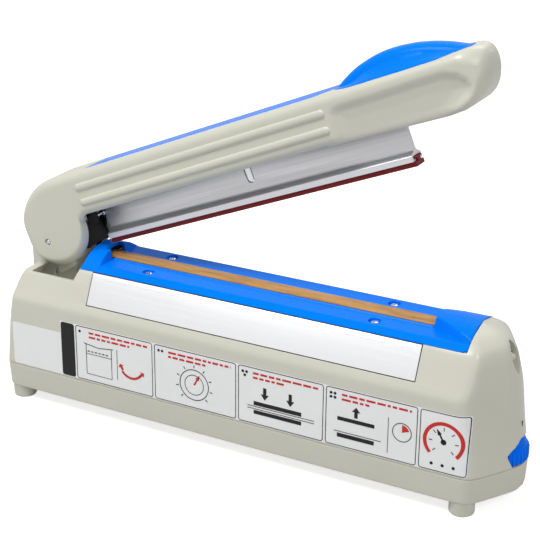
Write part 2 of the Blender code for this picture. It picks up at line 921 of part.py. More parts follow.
def build_panels():
    for name, side in sides:
        panel = panel_solid("side_panel_" + name, side, 0.0, 0.0, panel_thickness)
        finish(panel, "side_panel_" + name, aluminium, base)


def build_bed():
    low = seat + seam
    bed = box("element_bed", (strip_start, -bed_half_width, low), (strip_end, bed_half_width, low + bed_height))
    finish(bed, "element_bed", insulator, base)
    rear = strip_start - seam - terminal_length
    front = strip_end + seam
    top = low + bed_height
    wire_low = top + seam
    high = (front + terminal_length, wire_half_width, wire_low + wire_thickness)
    finish(box("heating_wire", (rear, -wire_half_width, wire_low), high), "heating_wire", steel, base)
    high = (strip_end, strip_half_width, strip_top)
    finish(box("sealing_strip", (strip_start, -strip_half_width, strip_low), high), "sealing_strip", tape, base)
    for name, start in (("rear", rear), ("front", front)):
        high = (start + terminal_length, bed_half_width, top)
        finish(box("terminal_" + name, (start, -bed_half_width, low), high), "terminal_" + name, brass, base)
        middle = (start + terminal_length / 2, 0, strip_low)
        screw = rod("terminal_screw_" + name, terminal_screw_radius, middle, terminal_screw_height, segments=16)
        finish(screw, "terminal_screw_" + name, steel, base, 40)


def dial_window():
    """The dial's own shape, a little larger, cut from the nose."""
    gap = dial_clearance
    profile = [
        (0, dial_rim_height + dial_cone_height + dial_top_height + gap),
        (dial_top_radius + gap, dial_rim_height + dial_cone_height + dial_top_height + gap),
        (dial_cone_radius + gap, dial_rim_height + dial_cone_height + gap / 2),
        (dial_radius + gap, dial_rim_height + gap / 2),
        (dial_radius + gap, -overrun),
        (0, -overrun),
    ]
    return turned("dial_window", profile, (dial_from_rear, 0, dial_low))


def dial_ring(height, radius, dip):
    points = []
    for index in range(2 * dial_ribs):
        angle = math.pi * index / dial_ribs
        reach = radius - (dip if index % 2 else 0.0)
        points.append((dial_from_rear + reach * math.cos(angle), reach * math.sin(angle), height))
    return points


def build_dial():
    rim_top = dial_low + dial_rim_height
    cone_top = rim_top + dial_cone_height
    dial = loft(
        "timer_dial",
        [
            dial_ring(dial_low, dial_radius, dial_rib_depth),
            dial_ring(rim_top, dial_radius, dial_rib_depth),
            dial_ring(cone_top, dial_cone_radius, dial_rib_depth / 2),
            dial_ring(cone_top + dial_top_height, dial_top_radius, 0.0),
        ],
    )
    start = (dial_from_rear, 0, dial_low - overrun)
    reach = overrun + dial_rim_height + dial_cone_height
    change(dial, rod("dial_bore", dial_shaft_radius + seam, start, reach))
    move_origin(dial, (dial_from_rear, 0, dial_low))
    finish(dial, "timer_dial", blue, base, 30)
    top = dial_low + dial_rim_height + dial_cone_height - seam
    shaft = rod("dial_shaft", dial_shaft_radius, (dial_from_rear, 0, top - dial_shaft_length), dial_shaft_length)
    move_origin(shaft, (dial_from_rear, 0, dial_low))
    finish(shaft, "dial_shaft", steel, base, 40)
    floor = foot_height + floor_wall + seam
    body = rod("potentiometer", pot_radius, (dial_from_rear, 0, floor), pot_height, segments=32)
    bush = rod("pot_bush", pot_bush_radius, (dial_from_rear, 0, floor + pot_height / 2), pot_height / 2 + pot_bush_height)
    change(body, bush, "UNION")
    low = top - dial_shaft_length - seam
    change(body, rod("pot_bore", dial_shaft_radius + running, (dial_from_rear, 0, low), dial_shaft_length))
    finish(body, "potentiometer", dark, base, 40)


def move_origin(obj, place):
    obj.data.transform(Matrix.Translation(-Vector(place)))
    obj.location = place


def build_lamp():
    height = crown - lamp_drop
    face = base_length - lamp_set_back
    rear = face - lamp_block
    eye = spindle((0, height), lamp_width + wall, lamp_height + wall)
    holder = prism("lamp_holder", eye, rear, base_length, "YZ")
    inset = wall + seam
    nose = loft("nose_inside", [plan_ring(z, inset, inset, cover_end) for z in lamp_levels()])
    change(holder, nose, "INTERSECT")
    change(holder, rod("lens_bore", lens_radius + seam, (cover_end, 0, height), base_length - cover_end, "X"))
    finish(holder, "lamp_holder", dark, base)
    lens = rod("lamp_lens", lens_radius, (rear + wall, 0, height), face - rear - wall, "X")
    start = (face - lens_proud / 2, 0, height)
    change(lens, rod("lens_tip", lens_radius * 0.98, start, lens_proud * 1.5, "X", lens_radius / 2), "UNION")
    finish(lens, "lamp_lens", lens_red, base, 40)


def lamp_levels():
    low = crown - lamp_drop - lamp_height
    high = crown - lamp_drop + lamp_height / 2 + wall
    return [low] + folds_between(low, high) + [high]


def build_gland():
    start = (-gland_flange - seam, gland_side, gland_height)
    gland = rod("inlet_gland", gland_radius, start, gland_flange, "X", segments=32)
    neck_start = (-gland_flange, gland_side, gland_height)
    change(gland, rod("gland_neck", gland_neck_radius, neck_start, gland_neck_length, "X"), "UNION")
    bore_start = (-overrun, gland_side, gland_height)
    change(gland, rod("gland_bore", gland_bore_radius, bore_start, overrun + gland_neck_length + overrun, "X"))
    finish(gland, "inlet_gland", dark, base, 40)


def board_places():
    across = board_half_width - standoff_inset
    return [
        (x, side * across)
        for x in (board_start + standoff_inset, board_start + board_length - standoff_inset)
        for side in (-1, 1)
    ]


def switch_low():
    return lever_height() - lever_hub_radius - seam - switch_height


def lever_height():
    """Height of the lever's hinge, so that its top meets the finger."""
    return hinge_height - finger_drop + lever_sheet * 2 - lever_length


def build_electrics():
    floor = foot_height + floor_wall + seam
    end = core_start + core_length
    top = floor + core_height
    window = (core_length - 4 * core_limb) / 2
    outline = [(core_start, floor), (end, floor), (end, top), (core_start, top)]
    loops = [outline]
    for left in (core_start + core_limb, end - core_limb - window):
        low = floor + core_limb
        high = top - core_limb
        loops.append([(left, low), (left + window, low), (left + window, high), (left, high)])
    core = prism("transformer_core", loops, -core_half_depth, core_half_depth)
    finish(core, "transformer_core", laminations, base)
    left = core_start + core_limb + seam
    low = (left, -coil_half_depth, floor + core_limb + seam)
    coil = box("transformer_coil", low, (end - core_limb - seam, coil_half_depth, top - core_limb - seam))
    inner_left = core_start + core_limb + window - seam
    low = (inner_left, -core_half_depth - seam, floor)
    change(coil, box("coil_bore", low, (inner_left + 2 * core_limb + 2 * seam, core_half_depth + seam, top)))
    finish(coil, "transformer_coil", winding, base)
    low = foot_height + floor_wall + board_height + seam
    high = (board_start + board_length, board_half_width, low + board_thickness)
    finish(box("timer_board", (board_start, -board_half_width, low), high), "timer_board", board_green, base)
    low = (switch_start, -lever_outer + lever_sheet - switch_half_width, switch_low())
    high = (switch_start + switch_length, -lever_outer + lever_sheet + switch_half_width, switch_low() + switch_height)
    finish(box("microswitch", low, high), "microswitch", dark, base)


def build_lever():
    height = lever_height()
    axis = (lever_from_rear, 0, height)
    blade = box(
        "switch_lever",
        (lever_from_rear - lever_sheet / 2, -lever_outer, height),
        (lever_from_rear + lever_sheet / 2, -lever_inner, height + lever_length),
    )
    start = (lever_from_rear, -lever_outer, height)
    change(blade, rod("lever_hub", lever_hub_radius, start, lever_outer - lever_inner, "Y", segments=16), "UNION")
    move_origin(blade, axis)
    finish(blade, "switch_lever", steel, base, 40)


# Hinge


def build_hinge():
    start = (hinge_from_rear, -hinge_pin_half, hinge_height)
    finish(rod("hinge_pin", hinge_pin_radius, start, 2 * hinge_pin_half, "Y"), "hinge_pin", steel, base, 40)
    for name, side in sides:
        outer = arm_half_width
        inner = outer - hinge_screw_head
        low = min(side * inner, side * outer)
        screw = rod("hinge_screw_" + name, hinge_screw_radius, (hinge_from_rear, low, hinge_height), hinge_screw_head, "Y")
        shank_low = min(side * (hinge_pin_half + seam), side * (inner + hinge_screw_head / 2))
        length = inner + hinge_screw_head / 2 - hinge_pin_half - seam
        start = (hinge_from_rear, shank_low, hinge_height)
        change(screw, rod(f"hinge_screw_shank_{name}", hinge_screw_shank, start, length, "Y"), "UNION")
        finish(screw, "hinge_screw_" + name, dark, base, 40)
    x = hinge_from_rear + spring_base_along
    start = (x, -knuckle_half_width, hinge_height + spring_base_up)
    pin = rod("spring_pin_base", spring_pin_radius, start, 2 * knuckle_half_width, "Y", segments=12)
    finish(pin, "spring_pin_base", steel, base, 40)


# Arm, drawn along its own length from the hinge


def arm_edges(along):
    """Lower and upper edge of the arm's side view at a distance from the hinge."""
    bulb_end = bulb_along + bulb_long_radius
    if along < crown_along:
        reach = (crown_along - along) / (crown_along - bulb_along + bulb_long_radius)
        high = bulb_up + crown_rise * math.sqrt(max(0.0, 1 - reach * reach))
    else:
        high = arm_top
    low_start = bulb_end + bulb_fillet
    if along <= bulb_end:
        reach = (along - bulb_along) / bulb_long_radius
        low = bulb_up - bulb_tall_radius * math.sqrt(max(0.0, 1 - reach * reach))
    elif along < low_start:
        share = (along - bulb_end) / (low_start - bulb_end)
        low = bulb_up + (arm_low_start - bulb_up) * math.sin(share * math.pi / 2)
    else:
        share = (along - low_start) / (arm_length - low_start)
        low = arm_low_start + (arm_low_end - arm_low_start) * share
    return low, high


def arm_section(along, low, high, half):
    """A rounded rectangle across the arm."""
    radius = min(arm_edge_radius, (high - low) * 0.48, half * 0.48)
    points = []
    corners = (
        ((half - radius, low + radius), -90),
        ((half - radius, high - radius), 0),
        ((-half + radius, high - radius), 90),
        ((-half + radius, low + radius), 180),
    )
    for centre, start in corners:
        points += [(along, y, z) for y, z in arc(centre, radius, start, start + 90, 3)]
    return points


def arm_rings():
    rings = []
    rear = bulb_along - bulb_long_radius
    bulb_end = bulb_along + bulb_long_radius
    for step in range(1, 15):
        angle = math.pi * step / 15
        along = bulb_along - bulb_long_radius * math.cos(angle)
        low, high = arm_edges(along)
        depth = min(along - rear, arm_edge_radius)
        rest = arm_edge_radius - depth
        half = arm_half_width - arm_edge_radius + math.sqrt(arm_edge_radius**2 - rest**2)
        rings.append(arm_section(along, low, high, half))
    straight_end = arm_length - arm_tip_run
    low_start = bulb_end + bulb_fillet
    stops = [bulb_end + (low_start - bulb_end) * share for share in (0.0, 0.2, 0.5, 1.0)]
    stops += [low_start + (straight_end - low_start) * share for share in (0.25, 0.5, 0.75)]
    for along in stops:
        low, high = arm_edges(along)
        rings.append(arm_section(along, low, high, arm_half_width))
    low, high = arm_edges(straight_end)
    for along_share, low_share, high_share in tip_shares:
        along = straight_end + along_share * arm_tip_run
        spread = math.sqrt(max(0.0, 1 - (along_share * 0.86) ** 2))
        height = high - low
        rings.append(arm_section(along, low + low_share * height, low + high_share * height, arm_half_width * spread))
    return rings


def slot_outline():
    """Side view of the opening between the arm's two cheeks."""
    roof = arm_top - arm_roof
    long_radius = crown_along - bulb_along + bulb_long_radius - arm_wall - seam
    tall_radius = roof - bulb_up
    low = -bulb_long_radius - overrun
    points = [(cavity_start + arm_edge_radius, low), (cavity_start + arm_edge_radius, roof)]
    points += arc((crown_along, bulb_up), long_radius, 90, 157, 10, tall_radius)
    points += [(-bulb_long_radius - overrun, points[-1][1]), (-bulb_long_radius - overrun, low)]
    return points


def build_arm_shell():
    shell = loft("arm_shell", arm_rings())
    low = -bulb_long_radius - overrun
    roof = arm_top - arm_roof
    change(shell, prism("arm_slot", slot_outline(), -slot_half_width, slot_half_width))
    high = (recess_begin - recess_depth, cavity_half_width, roof)
    change(shell, box("arm_cavity", (cavity_start, -cavity_half_width, low), high))
    high = (arm_length - cavity_end_wall, cavity_grip_half_width, roof)
    change(shell, box("arm_grip_cavity", (cavity_start, -cavity_grip_half_width, low), high))
    rib_end = rib_start + rib_length
    for name, side in sides:
        for level, up in (("upper", rib_upper), ("lower", rib_lower)):
            outline = arc((rib_start + rib_half_height, up), rib_half_height, 90, 270, 6)
            outline += arc((rib_end - rib_half_height, up), rib_half_height, -90, 90, 6)
            ends = sorted((side * (arm_half_width - rib_proud / 2), side * (arm_half_width + rib_proud)))
            change(shell, prism(f"rib_{level}_{name}", outline, *ends), "UNION")
        height = recess_top - arm_low_end
        outline = [(recess_begin + x * recess_length, arm_low_end + z * height) for x, z in recess_shares]
        ends = sorted((side * (arm_half_width - recess_depth), side * (arm_half_width + overrun)))
        change(shell, prism("thumb_recess_" + name, outline, *ends))
    finger_end = finger_length - finger_rear
    outline = [
        (-finger_rear, -finger_drop),
        (finger_end, -finger_drop + finger_slant),
        (finger_end, -finger_root),
        (-finger_rear, -finger_root),
    ]
    finger = prism("finger", outline, -finger_outer, -finger_inner)
    change(shell, finger, "UNION")
    change(shell, inlay_seat())
    change(shell, grip_seat())
    start = (0, -arm_half_width - overrun, 0)
    reach = 2 * (arm_half_width + overrun)
    change(shell, rod("cheek_bore", hinge_screw_shank + seam, start, reach, "Y"))
    for name, side in sides:
        depth = hinge_screw_head + seam
        low = min(side * (arm_half_width - depth), side * (arm_half_width + overrun))
        change(shell, rod("screw_seat_" + name, hinge_screw_radius + seam, (0, low, 0), depth + overrun, "Y"))
        low = min(0.0, side * (hinge_pin_half + seam))
        change(shell, rod("pin_seat_" + name, hinge_pin_radius + seam, (0, low, 0), hinge_pin_half + seam, "Y"))
    return finish(shell, "arm_shell", beige, arm, 35)


def inlay_outline(grow):
    """Plan of the inlay in the arm's top: square at the rear, drawn in to a round front end."""
    half = inlay_half_width + grow
    start = inlay_start - grow
    end = inlay_start + inlay_length + grow
    points = [(start, -half), (end - half, -half)]
    points += arc((end - half, 0), half, -75, 75, 8)
    points += [(end - half, half), (start, half)]
    return points


def inlay_seat():
    low = arm_top - inlay_sink - seam
    return prism("inlay_seat", inlay_outline(seam), low, arm_top + overrun, "XY")


def build_inlay():
    low = arm_top - inlay_sink
    inlay = prism("top_inlay", inlay_outline(0.0), low, arm_top + inlay_crown, "XY")
    bevel = inlay.modifiers.new("edge", "BEVEL")
    bevel.width = inlay_crown
    bevel.segments = 2
    bevel.limit_method = "ANGLE"
    bevel.angle_limit = math.radians(50)
    finish(inlay, "top_inlay", blue, arm, 30)


def grip_outline(grow):
    """Plan of the grip insert, pointed at its rear end."""
    right = []
    for along_share, half_share, _ in grip_shares:
        right.append((grip_begin + along_share * grip_length, grip_half_width * half_share + grow))
    right[0] = (right[0][0] - grow - grow, right[0][1])
    right[-1] = (right[-1][0] + grow, right[-1][1])
    return right + [(x, -y) for x, y in reversed(right)]


def grip_seat():
    low = arm_top - inlay_sink - seam
    return prism("grip_seat", grip_outline(seam), low, arm_top + overrun, "XY")


def build_grip():
    rings = []
    low = arm_top - inlay_sink
    for along_share, half_share, rise_share in grip_shares:
        x = grip_begin + along_share * grip_length
        half = grip_half_width * half_share
        rise = grip_rise * rise_share
        edge = arm_top + rise * 0.06
        shoulder = arm_top + rise * 0.62
        rings.append(
            [
                (x, -half, low),
                (x, half, low),
                (x, half, edge),
                (x, half * 0.78, arm_top + rise * 0.30),
                (x, half * 0.50, shoulder),
                (x, half * 0.24, arm_top + rise * 0.92),
                (x, 0, arm_top + rise),
                (x, -half * 0.24, arm_top + rise * 0.92),
                (x, -half * 0.50, shoulder),
                (x, -half * 0.78, arm_top + rise * 0.30),
                (x, -half, edge),
            ]
        )
    finish(loft("grip_insert", rings), "grip_insert", blue, arm, 50)


def build_frame():
    roof = arm_top - arm_roof - seam
    ear_root = frame_low - 2 * frame_sheet
    low_angle = math.degrees(math.asin((ear_root - bulb_up) / frame_cheek_radius))
    high_angle = math.degrees(math.acos((frame_step - bulb_along) / frame_cheek_radius))
    outline = [(frame_end, frame_low), (ear_start + ear_length, frame_low)]
    outline += [(ear_start + ear_length, ear_low), (ear_start, ear_low), (ear_start, ear_root)]
    skirt_angle = -math.degrees(math.acos((frame_front - bulb_along) / frame_cheek_radius))
    outline += arc((bulb_along, bulb_up), frame_cheek_radius, low_angle, skirt_angle, 6)
    skirt_angle = -math.degrees(math.asin((frame_front_low + bulb_up) / frame_cheek_radius))
    outline.append((frame_front, -frame_front_low))
    outline += arc((bulb_along, bulb_up), frame_cheek_radius, skirt_angle, high_angle - 360, 24)
    outline += [(frame_step, roof), (frame_end, roof)]
    frame = prism("arm_frame", outline, -frame_half_width, frame_half_width)
    inner = frame_half_width - frame_sheet
    low = (-bulb_long_radius - overrun, -inner, -bulb_long_radius - overrun)
    change(frame, box("frame_channel", low, (frame_end + overrun, inner, roof - frame_sheet)))
    middle = frame_half_width - frame_sheet / 2
    low = (frame_front - frame_sheet, -middle, seam - frame_front_low)
    change(frame, box("frame_front_web", low, (frame_front - seam, middle, frame_front_high)), "UNION")
    start = (0, -frame_half_width - overrun, 0)
    change(frame, rod("frame_bore", hinge_pin_radius + running, start, 2 * (frame_half_width + overrun), "Y"))
    start = (spring_arm_along, -frame_half_width - overrun, spring_arm_up)
    reach = 2 * (frame_half_width + overrun)
    change(frame, rod("frame_pin_bore", spring_pin_radius + seam, start, reach, "Y", segments=12))
    finish(frame, "arm_frame", black_steel, arm, 35)
    start = (spring_arm_along, -frame_half_width, spring_arm_up)
    pin = rod("spring_pin_arm", spring_pin_radius, start, 2 * frame_half_width, "Y", segments=12)
    finish(pin, "spring_pin_arm", steel, arm, 40)
    tip = arc((bar_axis_along, bar_axis_up), guide_radius, 180, 360, 10)
    top = roof - frame_sheet - seam
    outline = tip + [(bar_axis_along + guide_radius, top), (bar_axis_along - guide_radius, top)]
    guide = prism("bar_guide", outline, -guide_half_thickness, guide_half_thickness)
    finish(guide, "bar_guide", steel, arm, 35)


# Pressure bar, drawn from its rocking axis


def build_bar():
    bottom = silicone_height + seam - bar_hang
    mouth_top = bottom + bar_mouth_height
    slot_top = mouth_top + bar_slot_height
    flange_top = bottom + bar_flange_height
    flare_top = flange_top + bar_flare_height
    right = [
        (bar_mouth_half, bottom),
        (bar_flange_half, bottom),
        (bar_flange_half, flange_top),
        (bar_web_half, flare_top),
        (bar_web_half, bar_height - bar_hang),
    ]
    inner = [(bar_slot_half, slot_top), (bar_slot_half, mouth_top), (bar_mouth_half, mouth_top)]
    outline = inner + right
    outline = outline + [(-y, z) for y, z in reversed(outline)]
    bar = prism("pressure_bar", outline, -bar_rear_reach, bar_front_reach, "YZ")
    top = bar_height - bar_hang + overrun
    spread = notch_radius + notch_flare
    notch = arc((0, 0), notch_radius, 180, 360, 12) + [(spread, bar_height - bar_hang), (spread, top)]
    notch += [(-spread, top), (-spread, bar_height - bar_hang)]
    change(bar, prism("bar_notch", notch, -bar_flange_half, bar_flange_half))
    finish(bar, "pressure_bar", aluminium, rocker)
    low = -bar_hang
    neck_top = mouth_top + seam
    half = [
        (silicone_half, low),
        (silicone_half, low + silicone_height),
        (silicone_neck_half, low + silicone_height),
        (silicone_neck_half, neck_top),
        (silicone_flange_half, neck_top),
        (silicone_flange_half, neck_top + silicone_flange_height),
    ]
    outline = half + [(-y, z) for y, z in reversed(half)]
    strip = prism("silicone_strip", outline, -bar_rear_reach, bar_front_reach + silicone_reach, "YZ")
    finish(strip, "silicone_strip", silicone, rocker)


# Return spring: one wire from hook to coil to hook


def spring_points():
    start = Vector((hinge_from_rear + spring_base_along, 0, hinge_height + spring_base_up))
    turn = Matrix.Rotation(-rest_angle, 3, "Y")
    end = Vector((hinge_from_rear, 0, hinge_height)) + turn @ Vector((spring_arm_along, 0, spring_arm_up))
    along = (end - start).normalized()
    up = Vector((-along.z, 0, along.x))
    side = Vector((0, 1, 0))
    span = (end - start).length
    coil_length = coil_turns * coil_pitch
    first = (span - coil_length) / 2
    points = []
    for step in range(hook_points):
        angle = math.radians(hook_open + (hook_close - hook_open) * step / (hook_points - 1))
        points.append(start + (up * math.sin(angle) - along * math.cos(angle)) * hook_radius)
    count = coil_turns * points_a_turn
    for step in range(count + 1):
        angle = 2 * math.pi * step / points_a_turn
        centre = start + along * (first + coil_pitch * step / points_a_turn)
        points.append(centre + (up * math.cos(angle) + side * math.sin(angle)) * coil_radius)
    for step in range(hook_points):
        angle = math.radians(hook_close + (hook_open - hook_close) * step / (hook_points - 1))
        points.append(end + (up * math.sin(angle) + along * math.cos(angle)) * hook_radius)
    return points


def least_gap(points):
    """Smallest clear space between stretches of the wire that aren't neighbours."""
    least = coil_radius
    for index, point in enumerate(points):
        for other in points[index + points_a_turn // 2 + 1 :]:
            least = min(least, (point - other).length - 2 * wire_radius)
    return least


def build_spring():
    points = spring_points()
    curve = bpy.data.curves.new("return_spring", "CURVE")
    curve.dimensions = "3D"
    curve.bevel_depth = wire_radius
    curve.bevel_resolution = 1
    curve.use_fill_caps = True
    spline = curve.splines.new("POLY")
    spline.points.add(len(points) - 1)
    for place, point in zip(spline.points, points):
        place.co = (*point, 1)
    curve.materials.append(steel)
    spring = bpy.data.objects.new("return_spring", curve)
    parts.objects.link(spring)
    spring.parent = base
    print(f"least gap of the return spring to itself: {least_gap(points) * 1000:.2f} mm")


clear_scene()
parts = new_collection("bag_sealer")
cutters = new_collection("cutters")

beige = material("beige_plastic", (0.62, 0.60, 0.51), 0.42)
beige_dark = material("beige_pan", (0.58, 0.56, 0.48), 0.45)
blue = material("blue_plastic", (0.0, 0.20, 0.95), 0.28)
aluminium = material("brushed_aluminium", (0.82, 0.83, 0.86), 0.35, 1.0)
steel = material("bright_steel", (0.72, 0.73, 0.75), 0.28, 1.0)
black_steel = material("black_steel", (0.015, 0.015, 0.017), 0.5, 0.4)
dark = material("dark_plastic", (0.03, 0.03, 0.03), 0.5)
brass = material("brass", (0.72, 0.50, 0.20), 0.32, 1.0)
tape = material("brown_non_stick_tape", (0.48, 0.22, 0.05), 0.5)
insulator = material("insulating_bed", (0.55, 0.42, 0.30), 0.7)
silicone = material("red_silicone", (0.26, 0.012, 0.012), 0.6)
lens_red = material("red_lens", (0.45, 0.02, 0.02), 0.15)
laminations = material("transformer_steel", (0.20, 0.20, 0.21), 0.45, 0.8)
winding = material("coil_tape", (0.55, 0.42, 0.05), 0.6)
board_green = material("circuit_board", (0.02, 0.16, 0.06), 0.5)

base = empty("base_frame", None, (gland_flange + seam - overall_length / 2, 0, 0))
arm = empty("arm_pivot", base, (hinge_from_rear, 0, hinge_height), -rest_angle)
rocker = empty("bar_pivot", arm, (bar_axis_along, 0, bar_axis_up), bar_rest_tilt)

build_housing()
build_pan()
build_screws()
build_cover()
build_panels()
build_bed()
build_dial()
build_lamp()
build_gland()
build_electrics()
build_lever()
build_hinge()
build_arm_shell()
build_inlay()
build_grip()
build_frame()
build_bar()
build_spring()
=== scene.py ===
import json
import math
import random
import bmesh
import bpy
from mathutils import Matrix, Vector


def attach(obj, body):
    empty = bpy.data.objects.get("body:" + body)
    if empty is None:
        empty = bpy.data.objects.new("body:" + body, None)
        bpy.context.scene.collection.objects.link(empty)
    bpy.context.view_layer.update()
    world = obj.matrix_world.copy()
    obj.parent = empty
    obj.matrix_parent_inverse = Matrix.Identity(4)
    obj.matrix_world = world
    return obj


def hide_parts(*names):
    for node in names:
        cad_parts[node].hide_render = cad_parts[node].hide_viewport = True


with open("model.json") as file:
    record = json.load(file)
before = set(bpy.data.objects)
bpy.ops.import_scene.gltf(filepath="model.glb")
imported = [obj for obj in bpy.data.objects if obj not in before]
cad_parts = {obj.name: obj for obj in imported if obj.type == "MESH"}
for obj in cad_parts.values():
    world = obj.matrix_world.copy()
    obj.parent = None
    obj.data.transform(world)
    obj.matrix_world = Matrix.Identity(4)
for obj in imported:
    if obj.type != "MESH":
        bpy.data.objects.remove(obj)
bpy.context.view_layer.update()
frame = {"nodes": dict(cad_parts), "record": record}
scene = bpy.context.scene
print("frame loaded")

# Everything below is drawn in millimetres and then put in the frame.
# The base counts from its rear end, the arm from its hinge, the bar from its rocking axis.
rearEnd = -161.25
hingeX, hingeZ = 23.6, 100.5
armAngle, barTilt = 22.6, 0.76
rockU, rockV = 143.5, 1.7

mm = Matrix.Scale(0.001, 4)
baseFrame = mm @ Matrix.Translation((rearEnd, 0, 0))
armFrame = baseFrame @ Matrix.Translation((hingeX, 0, hingeZ)) @ Matrix.Rotation(math.radians(-armAngle), 4, "Y")
barFrame = armFrame @ Matrix.Translation((rockU, 0, rockV)) @ Matrix.Rotation(math.radians(barTilt), 4, "Y")
frames = {"base": baseFrame, "arm": armFrame, "bar": barFrame, "dial": baseFrame, "lever": baseFrame}


# Mesh helpers

def meshFrom(name, verts, faces):
    mesh = bpy.data.meshes.new(name)
    mesh.from_pydata([tuple(v) for v in verts], [], faces)
    obj = bpy.data.objects.new(name, mesh)
    scene.collection.objects.link(obj)
    return obj


def fixNormals(obj):
    bm = bmesh.new()
    bm.from_mesh(obj.data)
    bmesh.ops.recalc_face_normals(bm, faces=bm.faces)
    bm.to_mesh(obj.data)
    bm.free()
    return obj


def loftRings(name, rings, closed=True):
    count = len(rings[0])
    verts = [p for ring in rings for p in ring]
    faces = []
    for row in range(len(rings) - 1):
        for i in range(count):
            j = (i + 1) % count
            faces.append((row * count + i, row * count + j, (row + 1) * count + j, (row + 1) * count + i))
    if closed:
        faces.append(tuple(reversed(range(count))))
        faces.append(tuple(range((len(rings) - 1) * count, len(rings) * count)))
    return fixNormals(meshFrom(name, verts, faces))


def applyAll(obj):
    graph = bpy.context.evaluated_depsgraph_get()
    graph.update()
    mesh = bpy.data.meshes.new_from_object(obj.evaluated_get(graph))
    old = obj.data
    obj.modifiers.clear()
    obj.data = mesh
    if isinstance(old, bpy.types.Mesh):
        bpy.data.meshes.remove(old)
    return obj


def flatShape(name, loops, low, high, plane="XZ", resolution=1):
    curve = bpy.data.curves.new(name, "CURVE")
    curve.dimensions = "2D"
    curve.fill_mode = "BOTH"
    curve.extrude = (high - low) / 2
    for loop in loops if isinstance(loops[0], list) else [loops]:
        spline = curve.splines.new("POLY")
        spline.points.add(len(loop) - 1)
        for point, (a, b) in zip(spline.points, loop):
            point.co = (a, b, 0, 1)
        spline.use_cyclic_u = True
    host = bpy.data.objects.new(name, curve)
    scene.collection.objects.link(host)
    bpy.context.view_layer.update()
    mesh = bpy.data.meshes.new_from_object(host.evaluated_get(bpy.context.evaluated_depsgraph_get()))
    bpy.data.objects.remove(host)
    bm = bmesh.new()
    bm.from_mesh(mesh)
    bmesh.ops.remove_doubles(bm, verts=bm.verts, dist=0.002)
    bmesh.ops.dissolve_limit(bm, angle_limit=math.radians(0.5), verts=bm.verts, edges=bm.edges)
    middle = (low + high) / 2
    turns = {
        "XZ": Matrix.Translation((0, middle, 0)) @ Matrix.Rotation(math.pi / 2, 4, "X"),
        "YZ": Matrix.Translation((middle, 0, 0)) @ Matrix.Rotation(math.pi / 2, 4, "Z") @ Matrix.Rotation(math.pi / 2, 4, "X"),
        "XY": Matrix.Translation((0, 0, middle)),
    }
    bmesh.ops.transform(bm, matrix=turns[plane], verts=bm.verts)
    bm.to_mesh(mesh)
    bm.free()
    obj = bpy.data.objects.new(name, mesh)
    scene.collection.objects.link(obj)
    return fixNormals(obj) if high > low else obj


def block(name, low, high):
    bm = bmesh.new()
    bmesh.ops.create_cube(bm, size=1)
    size = Vector(high) - Vector(low)
    place = Matrix.LocRotScale((Vector(low) + Vector(high)) / 2, None, size)
    bmesh.ops.transform(bm, matrix=place, verts=bm.verts)
    obj = meshFrom(name, [], [])
    bm.to_mesh(obj.data)
    bm.free()
    return obj


def rod(name, radius, start, length, axis="Z", tip=None, sides=48):
    bm = bmesh.new()
    bmesh.ops.create_cone(bm, cap_ends=True, segments=sides, radius1=radius, radius2=radius if tip is None else tip, depth=length)
    turn = {"X": Matrix.Rotation(math.pi / 2, 4, "Y"), "Y": Matrix.Rotation(-math.pi / 2, 4, "X"), "Z": Matrix.Identity(4)}[axis]
    bmesh.ops.transform(bm, matrix=Matrix.Translation(start) @ turn @ Matrix.Translation((0, 0, length / 2)), verts=bm.verts)
    obj = meshFrom(name, [], [])
    bm.to_mesh(obj.data)
    bm.free()
    return obj


def lathe(name, profile, centre, steps=96):
    rings = []
    for radius, height in profile:
        r = max(radius, 0.02)
        rings.append([(centre[0] + r * math.cos(2 * math.pi * k / steps), centre[1] + r * math.sin(2 * math.pi * k / steps), centre[2] + height) for k in range(steps)])
    return loftRings(name, rings)


def carve(target, tool, operation="DIFFERENCE"):
    change = target.modifiers.new("carve", "BOOLEAN")
    change.operation = operation
    change.solver = "EXACT"
    change.object = tool
    bpy.context.view_layer.update()
    applyAll(target)
    bpy.data.objects.remove(tool)
    return target


def softenEdges(obj, width, angle=38, steps=2):
    bm = bmesh.new()
    bm.from_mesh(obj.data)
    bmesh.ops.remove_doubles(bm, verts=bm.verts, dist=0.004)
    bmesh.ops.dissolve_degenerate(bm, edges=bm.edges, dist=0.004)
    bm.to_mesh(obj.data)
    bm.free()
    bevel = obj.modifiers.new("soft", "BEVEL")
    bevel.width = width
    bevel.segments = steps
    bevel.limit_method = "ANGLE"
    bevel.angle_limit = math.radians(angle)
    bevel.use_clamp_overlap = True
    bevel.miter_outer = "MITER_ARC"
    bpy.context.view_layer.update()
    return applyAll(obj)


def arc(cx, cy, radius, start, end, steps, tall=None):
    points = []
    for k in range(steps + 1):
        t = math.radians(start + (end - start) * k / steps)
        points.append((cx + radius * math.cos(t), cy + (tall or radius) * math.sin(t)))
    return points


def finishPiece(obj, name, material, body, nodes=(), smooth=35):
    obj.name = name
    obj.data.name = name
    obj.data.transform(frames[body])
    obj.data.materials.clear()
    obj.data.materials.append(material)
    if smooth:
        obj.data.shade_smooth()
        obj.data.set_sharp_from_angle(angle=math.radians(smooth))
    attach(obj, body)
    if nodes:
        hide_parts(*nodes)
    return obj


def lerpTable(table, at):
    if at <= table[0][0]:
        return table[0][1:]
    for low, high in zip(table, table[1:]):
        if at <= high[0]:
            part = (at - low[0]) / (high[0] - low[0])
            return [a + (b - a) * part for a, b in zip(low[1:], high[1:])]
    return table[-1][1:]


def softTable(table, at, spread, samples=7):
    # the mean over a short stretch rounds the folds
    rows = [lerpTable(table, at + spread * (2 * k / (samples - 1) - 1)) for k in range(samples)]
    return [sum(column) / samples for column in zip(*rows)]


# Materials

